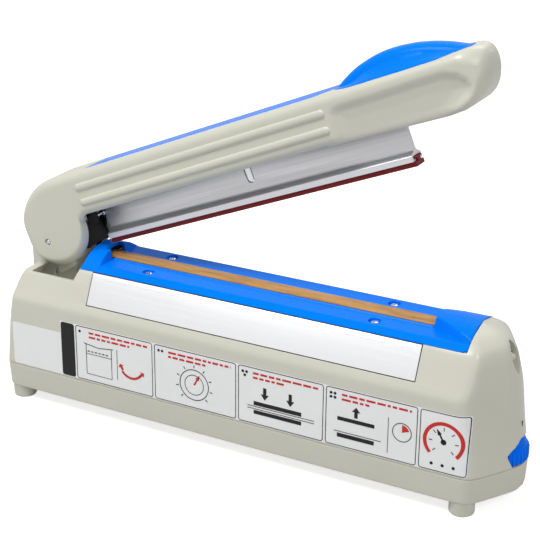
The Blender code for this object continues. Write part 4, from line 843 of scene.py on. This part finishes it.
def buildStrip():
    chance = random.Random(7)
    section = [(-5.55, 0), (-5.55, 0.22), (-5.3, 0.34), (-3.6, 0.36), (-2.1, 0.38), (-1.5, 0.62), (0, 0.66)]
    section += [(-y, z) for y, z in reversed(section[:-1])]
    rings = []
    for k in range(73):
        x = strip["start"] + (strip["end"] - strip["start"]) * k / 72
        wave = [chance.uniform(-0.03, 0.03) for _ in section]
        ring = []
        for (y, z), lift in zip(section, wave):
            ring.append((x, y, strip["low"] + z + (lift if z > 0.3 else 0)))
        rings.append(ring)
    tapeStrip = loftRings("sealingStrip", rings)
    finishPiece(tapeStrip, "sealingStrip", tape, "base", ["sealing_strip"], 40)


buildPanels()
buildStrip()
print("panels and strip made")


# Timer dial

dial = {"centre": (307.95, 0, 24.3), "rim": 15.85, "ribs": 36, "ribProud": 0.6}


def buildDial():
    profile = [(0, 18.7), (7.4, 18.7), (7.9, 18.55), (8.3, 18.2), (12.2, 14.9), (12.7, 14.3), (15.5, 7.4), (15.85, 6.6)]
    profile += [(15.85, 0.5), (15.6, 0.15), (15.2, 0), (3.3, 0), (3.3, 14.7), (0, 14.7)]
    body = lathe("timerDial", profile, (0, 0, 0), 144)
    out = dial["ribProud"]
    shape = [(-0.6, -0.72), (0.1, -0.62), (out * 0.75, -0.42), (out, 0), (out * 0.75, 0.42), (0.1, 0.62), (-0.6, 0.72)]
    rows = [(0.25, 0.8, -0.25), (0.5, 1.0, 0), (6.4, 1.0, 0), (7.3, 0.8, -0.45), (8.2, 0.5, -1.0)]
    ribs = loftRings("dialRibs", [[(x + shift, y * wide, z) for x, y in shape] for z, wide, shift in rows])
    runTree(ribs, ribRing, {"Count": dial["ribs"], "Rim radius": dial["rim"], "Finish": blueDial})
    for piece, name in ((body, "timerDial"), (ribs, "dialRibs")):
        piece.data.transform(Matrix.Translation(dial["centre"]))
        finishPiece(piece, name, blueDial, "dial", ["timer_dial"], 35)


# Lamp in the nose, cord gland at the rear, hinge screws

def buildLamp():
    turn = Matrix.Rotation(math.pi / 2, 4, "Y")
    profile = [(0, 3.4), (0.8, 3.32), (1.5, 3.0), (2.0, 2.4), (2.3, 1.5), (2.4, 0.6), (2.4, -5.2), (0, -5.2)]
    lens = lathe("lampLens", profile, (0, 0, 0), 40)
    lens.data.transform(Matrix.Translation((310.2, 0, 83.1)) @ turn)
    finishPiece(lens, "lampLens", lensClear, "base", ["lamp_lens"], 40)
    # the holder takes the darker beige, painted shade of the recess around it
    profile = [(0, -7.8), (3.1, -7.8), (3.1, -1.2), (3.9, -1.2), (4.0, -0.9), (3.9, 0.6), (3.5, 1.0), (2.9, 0.8), (2.75, 0.2), (0, 0.2)]
    holder = lathe("lampHolder", profile, (0, 0, 0), 48)
    carve(holder, rod("bore", 2.55, (0, 0, -6), 12, sides=40))
    holder.data.transform(Matrix.Translation((310.2, 0, 83.1)) @ turn)
    finishPiece(holder, "lampHolder", recessShadeBeige, "base", ["lamp_holder"], 35)


def buildDialMark():
    mark = block("dialMark", (318.5, -1.3, 44.7), (320.75, -0.75, 47.6))
    softenEdges(mark, 0.05, 60, 1)
    finishPiece(mark, "dialMark", inkBlack, "base", (), 30)


def buildGland():
    profile = [(0, -4.1), (5.4, -4.1), (5.4, 0.2), (6.9, 0.2), (7.2, 0.5), (7.2, 1.2), (6.8, 1.75), (5.0, 1.9)]
    profile += [(4.3, 1.75), (3.9, 1.4), (0, 1.4)]
    gland = lathe("inletGland", profile, (0, 0, 0), 64)
    carve(gland, rod("bore", 3.3, (0, 0, -10), 20, sides=48))
    gland.data.transform(Matrix.Translation((0, 18, 40)) @ Matrix.Rotation(-math.pi / 2, 4, "Y"))
    finishPiece(gland, "inletGland", blackPlastic, "base", ["inlet_gland"], 35)


def buildHingeScrews():
    for side, name in ((-1, "near"), (1, "far")):
        screw = crossScrew("hingeScrew", 1.45, 0.6, 1.1, 3.9, (2.1, 0.5, 0.4))
        turn = Matrix.Rotation(side * -math.pi / 2, 4, "X") @ Matrix.Rotation(0.5, 4, "Z")
        screw.data.transform(Matrix.Translation((hingeX, side * 16.25, hingeZ)) @ turn)
        finishPiece(screw, "hingeScrew" + name.capitalize(), steel, "base", ["hinge_screw_" + name], 35)


buildDial()
buildLamp()
buildDialMark()
buildGland()
buildHingeScrews()
print("dial and fittings made")


# Arm shell

arm = {
    "half": 17.0, "corner": 5.2, "rear": -16.5, "rows": 64, "top": 35.6, "tipStart": 289.5, "tipEnd": 302.3,
    "ribLevels": (26.2, 17.0), "ribStart": 37.5, "ribEnd": 208.2, "ribHalf": 2.2, "ribProud": 1.2,
    "recessDepth": 3.6, "recessSoft": 6.0, "slotHalf": 11.2, "roof": 32.6, "edge": 0.5,
}
armLow = [
    (36.0, 8.6), (200.0, 8.2), (245.0, 7.0), (275.0, 6.1), (284.0, 6.7), (289.0, 8.0), (293.8, 10.7), (297.8, 14.3), (300.4, 18.6),
    (301.8, 22.5), (302.3, 25.0),
]
armHigh = [(17.2, 35.6), (291.0, 35.6), (296.0, 35.3), (298.8, 34.5), (300.8, 32.8), (301.9, 30.4), (302.3, 28.0)]
recessOutline = [
    (205.5, -6), (209.0, 10), (211.0, 22), (211.8, 25.4), (214.5, 28.4), (218.6, 29.5), (242.1, 29.5), (266.4, 30), (280.4, 30),
    (288.7, 27.2), (293.4, 22.6), (295.2, 17.4), (293.0, 13.0), (287.3, 9.6), (281.3, 6.0), (278.0, -6),
]


def armEdges(u):
    if u < 17.2:
        reach = (17.2 - u) / 33.7
        high = 5.2 + (arm["top"] - 5.2) * math.sqrt(max(0.0, 1 - reach * reach))
    else:
        high = softTable(armHigh, u, 0.8)[0]
    if u <= 29.1:
        reach = (u - 6.3) / 22.8
        low = 5.2 - 21.9 * math.sqrt(max(0.0, 1 - reach * reach))
    elif u < 36:
        low = 5.2 + 3.4 * math.sin((u - 29.1) / 6.9 * math.pi / 2)
    else:
        low = softTable(armLow, u, 0.5)[0]
    return low, high


def armHalf(u):
    depth = min(u - arm["rear"], 6.5)
    half = arm["half"] - 6.5 + math.sqrt(6.5 ** 2 - (6.5 - depth) ** 2)
    if u > arm["tipStart"]:
        share = min(1.0, (u - arm["tipStart"]) / (arm["tipEnd"] - arm["tipStart"]))
        half *= (1 - share ** 2.3) ** (1 / 2.3)
    return half


def insideBy(loop, u, v):
    # distance in from the edge of a loop, nothing outside it
    least, inside = 1e9, False
    for (a, b), (c, d) in zip(loop, loop[1:] + loop[:1]):
        if (b > v) != (d > v) and u < (c - a) * (v - b) / (d - b) + a:
            inside = not inside
        along = ((u - a) * (c - a) + (v - b) * (d - b)) / ((c - a) ** 2 + (d - b) ** 2)
        along = min(max(along, 0.0), 1.0)
        least = min(least, math.hypot(u - a - along * (c - a), v - b - along * (d - b)))
    return least if inside else 0.0


def sideRelief(u, v):
    relief = 0.0
    for level in arm["ribLevels"]:
        past = max(arm["ribStart"] - u, u - arm["ribEnd"], 0.0)
        away = math.hypot(past, v - level) / arm["ribHalf"]
        if away < 1:
            relief = arm["ribProud"] * (1 - away ** 2) ** 0.6
    if 205 < u < 297 and v < 31:
        inside = insideBy(recessOutline, u, v)
        deep = 0.45 * smooth(inside / arm["recessSoft"]) + 0.55 * smooth(inside / 11) * min(1.0, (30 - v) / 18)
        relief -= arm["recessDepth"] * deep
    return relief


def armRing(u):
    low, high = armEdges(u)
    half = armHalf(u)
    soft = min(arm["corner"] + 3.5 * smooth((u - 288) / 11), (high - low) * 0.46, half * 0.72)
    right = [(0, low), ((half - soft) * 0.5, low), (half - soft, low)]
    for k in range(1, 7):
        t = math.radians(-90 + 90 * k / 7)
        v = low + soft + soft * math.sin(t)
        right.append((half - soft + (soft + sideRelief(u, v)) * math.cos(t), v))
    for k in range(arm["rows"] + 1):
        v = low + soft + (high - low - 2 * soft) * k / arm["rows"]
        right.append((half + sideRelief(u, v), v))
    for k in range(1, 8):
        t = math.radians(90 * k / 8)
        right.append((half - soft + soft * math.cos(t), high - soft + soft * math.sin(t)))
    right += [(half - soft, high), ((half - soft) * 0.66, high), ((half - soft) * 0.33, high), (0, high)]
    ring = right + [(-y, v) for y, v in reversed(right[1:-1])]
    return [(u, y, v) for y, v in ring]


def armStops():
    stops = [6.3 - 22.8 * math.cos(math.pi * k / 32) for k in range(1, 32)]
    stops += [29.1, 29.7, 30.4, 31.2, 32.0, 32.8, 33.6, 34.4]
    stops += [35.1 + 0.3 * k for k in range(9)] + [38.2, 39.2, 41] + [44 + 4 * k for k in range(40)]
    stops += [203, 205, 206.5, 207.4] + [208.0 + 0.3 * k for k in range(9)] + [211.0 + 0.9 * k for k in range(15)]
    stops += [225 + 2.5 * k for k in range(22)] + [280 + 0.95 * k for k in range(10)]
    stops += [289.5 + 12.8 * math.sin(math.radians(4.4 * k)) for k in range(0, 20)]
    return stops


def inlayOutline(grow):
    half, start, end = 13.0 + grow, 44.0 - grow, 217.0 + grow
    points = [(start + 0.8, -half), (end - half, -half)] + arc(end - half, 0, half, -85, 85, 34) + [(end - half, half)]
    return points + [(start + 0.8, half), (start, half - 0.8), (start, -half + 0.8)]


gripPlan = [
    (215.6, 5.5), (216.3, 8.6), (217.6, 11.3), (220.2, 13.2), (225, 14.1), (234, 14.3), (262, 14.3), (278, 14.1), (284.5, 12.9),
    (288.2, 10.8), (290.8, 8.0), (292.6, 5.0), (293.4, 3.0),
]
gripCrest = [
    (215.5, 35.7), (219.0, 38.0), (223.2, 40.3), (229, 42.7), (234.9, 44.3), (240, 45.4), (245.6, 46.1), (250.5, 46.3), (255.5, 46.1),
    (264.8, 45.1), (273.6, 43.1), (282.1, 40.3), (288.0, 37.6), (292.0, 35.9), (293.6, 35.6),
]
gripFold = [
    (218, 35.4), (225, 36.3), (230, 37.7), (236.6, 39.6), (247.3, 41.4), (257.1, 41.6), (266.3, 40.5), (275.1, 38.6), (282, 36.9),
    (296.5, 35.3),
]


def gripOutline(grow):
    right = [(u, half + grow) for u, half in gripPlan]
    right[0] = (right[0][0] - grow, right[0][1])
    right[-1] = (right[-1][0] + grow, right[-1][1])
    return right + [(u, -y) for u, y in reversed(right)]


def buildArmShell():
    shell = loftRings("armShell", [armRing(u) for u in armStops()])
    high = 17.2 - 6.3 + 22.8 - 2.5
    slot = [(36.0, -50), (36.0, arm["roof"])] + arc(17.2, 5.2, high, 90, 157, 24, arm["roof"] - 5.2)
    slot += [(-50, slot[-1][1]), (-50, -50)]
    carve(shell, flatShape("slot", slot, -arm["slotHalf"], arm["slotHalf"]))
    carve(shell, block("cavity", (31, -14.8, -40), (204.5, 14.8, arm["roof"])))
    carve(shell, block("gripCavity", (31.2, -11.6, -40), (288, 11.6, arm["roof"] - 0.1)))
    finger = [(-3.3, -21.1), (10.2, -18.8), (10.2, -12), (-3.3, -12)]
    carve(shell, flatShape("finger", finger, -12.5, -9.8), "UNION")
    carve(shell, flatShape("inlaySeat", inlayOutline(0.2), 34.1, 60, "XY"))
    carve(shell, flatShape("gripSeat", gripOutline(0.15), 33.4, 60, "XY"))
    carve(shell, rod("bore", 1.5, (0, -40, 0), 80, "Y", sides=32))
    for side in (-1, 1):
        carve(shell, rod("seat", 2.1, (0, side * 15.5 - (10 if side < 0 else 0), 0), 10, "Y", sides=40))
    softenEdges(shell, 0.18, 55, 2)
    finishPiece(shell, "armShell", beige, "arm", ["arm_shell"], 30)


def buildInlay():
    inlay = flatShape("topInlay", inlayOutline(0.0), 34.25, 35.35, "XY")
    softenEdges(inlay, 0.5, 50, 3)
    finishPiece(inlay, "topInlay", blue, "arm", ["top_inlay"], 30)


def buildGrip():
    # a raised crest between two slightly hollow flanks
    spread = [1.0, 0.985, 0.90, 0.80, 0.70, 0.60, 0.507, 0.475, 0.43, 0.355, 0.25, 0.13, 0.0]
    climb = [0.0, 0.03, 0.13, 0.27, 0.45, 0.70, 1.0, 0.27, 0.50, 0.74, 0.90, 0.98, 1.0]
    rings = []
    stops = [215.6, 216.0, 216.6, 217.5, 218.6, 220.2, 222, 224, 226] + [228 + 2 * k for k in range(28)]
    stops += [284, 285.5, 287, 288.2, 289.4, 289.6, 291.6, 292.6, 293.4]
    for u in stops:
        half = softTable(gripPlan, u, 0.4)[0]
        crest = softTable(gripCrest, u, 2.0)[0]
        fold = min(softTable(gripFold, u, 2.0)[0], crest - 0.15)
        ring = [(u, -half, 33.6), (u, half, 33.6)]
        right = []
        for k, (wide, rise) in enumerate(zip(spread, climb)):
            y = half * wide
            past = max(0.0, y - 11.8)
            rim = 30.5 + math.sqrt(max(0.0, 27.04 - past * past))
            if k == 0:
                z = rim - 0.35
            elif k <= 6:
                z = rim + max(0.0, fold - rim) * rise
            else:
                foldHere = max(fold, rim)
                z = foldHere + max(0.0, crest - foldHere) * rise
            right.append((y, z))
        ring += [(u, y, z) for y, z in right] + [(u, -y, z) for y, z in reversed(right[:-1])]
        rings.append(ring)
    grip = loftRings("gripInsert", rings)
    finishPiece(grip, "gripInsert", blue, "arm", ["grip_insert"], 24)


def buildFrame():
    outline = [(265, 12), (38, 12), (38, 2.5), (30.5, 2.5), (30.5, 9.0)] + arc(6.3, 5.2, 20.6, 10.6, -27.9, 8)
    outline += [(24.5, -11)] + arc(6.3, 5.2, 20.6, -51.8, -311.7, 60) + [(20, 32.3), (265, 32.3)]
    inner = flatShape("armFrame", outline, -10.9, 10.9)
    carve(inner, block("channel", (-60, -9.4, -60), (300, 9.4, 30.8)))
    carve(inner, block("web", (22.9, -10.2, -10.6), (24.2, 10.2, 2.6)), "UNION")
    softenEdges(inner, 0.15, 50, 1)
    finishPiece(inner, "armFrame", blackSteel, "arm", ["arm_frame"], 35)


def buildGuide():
    tip = arc(rockU, rockV, 1.8, 180, 360, 24)
    guide = flatShape("barGuide", tip + [(rockU + 1.8, 30.6), (rockU - 1.8, 30.6)], -1.2, 1.2)
    softenEdges(guide, 0.2, 50, 2)
    finishPiece(guide, "barGuide", steel, "arm", ["bar_guide"], 35)


buildArmShell()
buildInlay()
buildGrip()
buildFrame()
buildGuide()
print("arm made")


# Pressure bar and its silicone strip

bar = {"rear": -106.35, "front": 101.15, "bottom": -12.85, "top": 20.35, "notch": 2.4}


def buildBar():
    low = bar["bottom"]
    half = [(4.3, low + 2.7), (4.3, low + 1.1), (2.0, low + 1.1), (2.0, low), (5.8, low), (6.0, low + 0.2), (6.0, low + 3.2)]
    half += [(5.7, low + 3.5), (4.0, low + 4.15), (2.4, low + 5.1), (1.75, low + 5.9), (1.5, low + 6.8), (1.5, bar["top"])]
    section = half + [(-y, z) for y, z in reversed(half)]
    piece = drawnPiece("pressureBar", section, bar["rear"], bar["front"] - bar["rear"], barAluminium)
    r, top = bar["notch"], bar["top"]
    notch = arc(0, 0, r, 180, 360, 24) + [(r + 0.8, top - 3), (r + 1.8, top), (r + 1.8, top + 10)]
    notch += [(-r - 1.8, top + 10), (-r - 1.8, top), (-r - 0.8, top - 3)]
    carve(piece, flatShape("notch", notch, -6, 6))
    softenEdges(piece, 0.15, 45, 2)
    finishPiece(piece, "pressureBar", barAluminium, "bar", ["pressure_bar"], 25)


def buildSilicone():
    low = -15.65
    half = [(4.55, low), (4.85, low + 0.3), (4.85, low + 2.3), (4.65, low + 2.5), (1.7, low + 2.5), (1.7, low + 4.2)]
    half += [(4.0, low + 4.2), (4.0, low + 5.2)]
    section = half + [(-y, z) for y, z in reversed(half)]
    length = bar["front"] + 1.0 - bar["rear"]
    piece = drawnPiece("siliconeStrip", section, bar["rear"], length, silicone)
    softenEdges(piece, 0.12, 45, 1)
    finishPiece(piece, "siliconeStrip", silicone, "bar", ["silicone_strip"], 35)


buildBar()
buildSilicone()
print("bar made")


# Sticker on the near wall: white panels with plain frames and simple signs

sticker = {
    "low": 25.0, "high": 60.4, "lowHigh": 52.3, "start": 7.3, "block": (43.9, 53.6), "corner": 1.6, "line": 0.42,
    "panels": ((54.7, 108.8), (110.2, 164.6), (166.0, 219.4), (220.8, 274.6), (276.0, 303.0)),
}


def wallDepth(x, z):
    halfShare, _, noseShare, runShare = softTable(housingShape, z, housing["soften"])
    half = halfShare * housing["halfWidth"]
    tip = housing["length"] - noseShare * housing["noseLean"]
    run = runShare * half
    share = (x - (tip - run)) / run
    if share <= 0:
        return half
    return half * softTable([(a, b) for a, b in noseShape] + [(1.05, -0.1)], share, min(0.035, share))[0]


def drape(name, loops, lift, material, thick=0.08):
    # flat shapes in x and z, laid on the near wall
    obj = flatShape(name, loops, -lift - thick, -lift)
    bm = bmesh.new()
    bm.from_mesh(obj.data)
    low, high = min(v.co.x for v in bm.verts), max(v.co.x for v in bm.verts)
    cuts = [((x, 0, 0), (1, 0, 0)) for x in range(284, 304) if low < x < high]
    cuts += [((0, 0, z), (0, 0, 1)) for z in (28, 32, 36, 38, 40, 44, 48, 50, 52, 54, 57)]
    for place, normal in cuts:
        every = bm.verts[:] + bm.edges[:] + bm.faces[:]
        bmesh.ops.bisect_plane(bm, geom=every, plane_co=place, plane_no=normal, dist=0.001)
    for vertex in bm.verts:
        vertex.co.y -= wallDepth(vertex.co.x, vertex.co.z)
    bm.to_mesh(obj.data)
    bm.free()
    return finishPiece(obj, name, material, "base", (), 30)


def roundBox(x0, z0, x1, z1, r):
    points = []
    for cx, cz, start in ((x1 - r, z0 + r, -90), (x1 - r, z1 - r, 0), (x0 + r, z1 - r, 90), (x0 + r, z0 + r, 180)):
        points += arc(cx, cz, r, start, start + 90, 6)
    return points


def stroke(points, width):
    left, right = [], []
    for k, (a, b) in enumerate(points):
        before, after = points[max(0, k - 1)], points[min(len(points) - 1, k + 1)]
        dx, dz = after[0] - before[0], after[1] - before[1]
        size = math.hypot(dx, dz)
        left.append((a - dz / size * width / 2, b + dx / size * width / 2))
        right.append((a + dz / size * width / 2, b - dx / size * width / 2))
    return left + right[::-1]


def arrow(x, z, angle, length, width):
    t = math.radians(angle)
    shape = [(0, -width * 0.2), (length * 0.55, -width * 0.2), (length * 0.55, -width / 2), (length, 0)]
    shape += [(length * 0.55, width / 2), (length * 0.55, width * 0.2), (0, width * 0.2)]
    return [(x + a * math.cos(t) - b * math.sin(t), z + a * math.sin(t) + b * math.cos(t)) for a, b in shape]


def disc(x, z, radius):
    return arc(x, z, radius, 0, 350, 35)


def pips(x, z, count):
    places = {1: ((0, 0),), 2: ((0, 0), (2.4, 0)), 3: ((0, 0), (2.4, 0), (1.2, -2.2)), 4: ((0, 0), (2.4, 0), (0, -2.4), (2.4, -2.4))}
    return [disc(x + a, z + b, 0.85) for a, b in places[count]]


def buildSticker():
    s = sticker
    sheet = [(s["start"] + 1, s["low"]), (302.4, s["low"]), (303.4, s["low"] + 1), (303.4, s["high"] - 1), (302.4, s["high"])]
    sheet += [(43.4, s["high"]), (43.4, s["lowHigh"]), (s["start"] + 1, s["lowHigh"]), (s["start"], s["lowHigh"] - 1), (s["start"], s["low"] + 1)]
    drape("stickerSheet", sheet, 0.02, stickerWhite)
    black = [roundBox(s["block"][0], s["low"] + 0.4, s["block"][1], s["high"] - 0.4, s["corner"])]
    chance = random.Random(11)
    red, thin = [], []
    for index, (x0, x1) in enumerate(s["panels"]):
        z0, z1 = s["low"] + 0.4, s["high"] - 0.4
        d = s["line"]
        drape(f"stickerFrame{index + 1}", [roundBox(x0, z0, x1, z1, s["corner"]), roundBox(x0 + d, z0 + d, x1 - d, z1 - d, s["corner"] - d)], 0.10, inkBlack)
        if index < 4:
            black += pips(x0 + 3.0, z1 - 3.4, index + 1)
            for row, end in ((0, x1 - 3.5), (1, x1 - 16 - 4 * index)):
                at = x0 + 9.5
                while at < end:
                    size = chance.uniform(1.8, 5.4)
                    stop = min(at + size, end)
                    red.append([(at, z1 - 3.9 - 2.7 * row), (stop, z1 - 3.9 - 2.7 * row), (stop, z1 - 2.7 - 2.7 * row), (at, z1 - 2.7 - 2.7 * row)])
                    at = stop + 1.1
    # first panel: a bag with its closed seam, and a turning arrow
    thin += [stroke([(62, 49), (62, 30), (80, 30), (80, 49)], 0.4), stroke([(60.5, 49.6), (71, 48.2), (81.5, 49.6)], 0.4)]
    thin += [[(x, 44.6), (x + 1.6, 44.6), (x + 1.6, 45.2), (x, 45.2)] for x in (63, 65.6, 68.2, 70.8, 73.4, 76.0)]
    thin += [stroke([(62, 43.2), (80, 43.2)], 0.3), stroke([(84, 31), (84, 50)], 0.3)]
    red += [stroke(arc(94, 42, 8, 215, 320, 16), 1.5), arrow(87.9, 38.1, 118, 4.2, 4.0), arrow(99.6, 36.4, 42, 4.2, 4.0)]
    # second panel: a knob with its scale
    thin += [stroke(arc(137, 40, 9.5, 0, 360, 48), 0.45), stroke(arc(137, 40, 6.2, 0, 360, 40), 0.35)]
    for k in range(9):
        t = math.radians(225 - 33.75 * k)
        thin.append(stroke([(137 + 10.6 * math.cos(t), 40 + 10.6 * math.sin(t)), (137 + 12.4 * math.cos(t), 40 + 12.4 * math.sin(t))], 0.5))
    red.append(arrow(137, 40, 62, 7.6, 2.6))
    # third panel: two bars closing on a film
    thin += [stroke([(172, 36.4), (214, 36.4)], 0.35), stroke([(172, 34.9), (214, 34.9)], 0.35)]
    black += [[(176, 37.2), (206, 37.2), (206, 39.6), (176, 39.6)], [(176, 31.8), (206, 31.8), (206, 34.1), (176, 34.1)]]
    black += [arrow(183, 49, -90, 7.5, 5), arrow(199, 49, -90, 7.5, 5)]
    # fourth panel: the bars apart again, and a plain clock
    thin += [stroke([(226, 34.4), (254, 34.4)], 0.35), stroke([(258, 29), (258, 50)], 0.3), stroke(arc(266, 43, 5.4, 0, 360, 36), 0.4)]
    black += [[(228, 41.2), (250, 41.2), (250, 43.4), (228, 43.4)], [(228, 31.0), (250, 31.0), (250, 33.4), (228, 33.4)], arrow(239, 44.5, 90, 6.5, 5)]
    red.append([(266, 43)] + arc(266, 43, 4.4, 20, 90, 10))
    # last panel: a gauge
    red.append(stroke(arc(289.6, 43.4, 10.6, -45, 225, 54), 2.0))
    for k in range(7):
        t = math.radians(225 - 45 * k)
        thin.append(stroke([(289.6 + 6.4 * math.cos(t), 43.4 + 6.4 * math.sin(t)), (289.6 + 8.4 * math.cos(t), 43.4 + 8.4 * math.sin(t))], 0.45))
    black += [arrow(289.6, 43.4, 120, 8.2, 2.4), disc(289.6, 43.4, 1.6), disc(283.4, 29.6, 0.9), disc(289.6, 29.6, 0.9), disc(295.8, 29.6, 0.9)]
    joined = {"stickerBlack": (black, inkBlack, 0.12), "stickerRed": (red, inkRed, 0.13), "stickerLines": (thin, inkBlack, 0.14)}
    for name, (shapes, ink, lift) in joined.items():
        made = [drape(name + "Shape", shape, lift, ink) for shape in shapes]
        joinAll(made, name, ink)


def joinAll(objects, name, material):
    bm = bmesh.new()
    for obj in objects:
        bm.from_mesh(obj.data)
    mesh = bpy.data.meshes.new(name)
    bm.to_mesh(mesh)
    bm.free()
    for obj in objects:
        bpy.data.objects.remove(obj)
    piece = bpy.data.objects.new(name, mesh)
    scene.collection.objects.link(piece)
    mesh.materials.append(material)
    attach(piece, "base")
    return piece


buildSticker()
print("sticker made")


# Camera, lights and floor

def buildCamera():
    data = bpy.data.cameras.new("photoCamera")
    data.sensor_width = 36
    data.lens = 92.72
    camera = bpy.data.objects.new("photoCamera", data)
    scene.collection.objects.link(camera)
    camera.location = (0.35395, -0.6412, 0.4010)
    camera.rotation_euler = (math.radians(90 - 22.138), 0, math.radians(28.509))
    scene.camera = camera


def softbox(name, place, target, size, power, color=(1, 1, 1)):
    data = bpy.data.lights.new(name, "AREA")
    data.shape = "RECTANGLE"
    data.size, data.size_y = size
    data.energy = power
    data.color = color
    lamp = bpy.data.objects.new(name, data)
    lamp.location = place
    lamp.rotation_euler = (Vector(target) - Vector(place)).to_track_quat("-Z", "Y").to_euler()
    scene.collection.objects.link(lamp)


def paleStage():
    floor = block("floor", (-3000, -3000, -20), (3000, 3000, 0))
    floor.data.transform(mm)
    material = bpy.data.materials.new("paleFloor")
    material.use_nodes = True
    nodes, links = material.node_tree.nodes, material.node_tree.links
    shader = nodes["Principled BSDF"]
    shader.inputs["Base Color"].default_value = (0.62, 0.62, 0.62, 1)
    shader.inputs["Roughness"].default_value = 0.9
    shader.inputs["Emission Color"].default_value = (1, 1, 1, 1)
    path = nodes.new("ShaderNodeLightPath")
    seen = mathNode(nodes, links, "MAXIMUM", path.outputs["Is Camera Ray"], mathNode(nodes, links, "MULTIPLY", path.outputs["Is Glossy Ray"], 0.35))
    links.new(mathNode(nodes, links, "MULTIPLY", seen, 0.74), shader.inputs["Emission Strength"])
    floor.data.materials.append(material)


def paleWorld():
    world = bpy.data.worlds.new("paleWorld")
    world.use_nodes = True
    nodes, links = world.node_tree.nodes, world.node_tree.links
    back = nodes["Background"]
    back.inputs["Color"].default_value = (1, 1, 1, 1)
    path = nodes.new("ShaderNodeLightPath")
    fill = 0.22
    shown = mathNode(nodes, links, "MAXIMUM", path.outputs["Is Camera Ray"], mathNode(nodes, links, "MULTIPLY", path.outputs["Is Glossy Ray"], 0.72))
    strength = mathNode(nodes, links, "MULTIPLY_ADD", shown, 1.0 - fill, fill)
    links.new(strength, back.inputs["Strength"])
    scene.world = world


buildCamera()
softbox("keyLight", (-0.50, -0.65, 1.42), (0, 0, 0.1), (0.6, 0.6), 19.5)
softbox("noseLight", (1.15, -0.55, 1.10), (0.08, 0, 0.1), (0.6, 0.6), 7.5)
softbox("backLight", (0.10, 1.00, 1.20), (0, 0, 0.1), (0.7, 0.5), 4)
paleStage()
paleWorld()
scene.view_settings.view_transform = "Standard"
print("camera, lights and floor made")
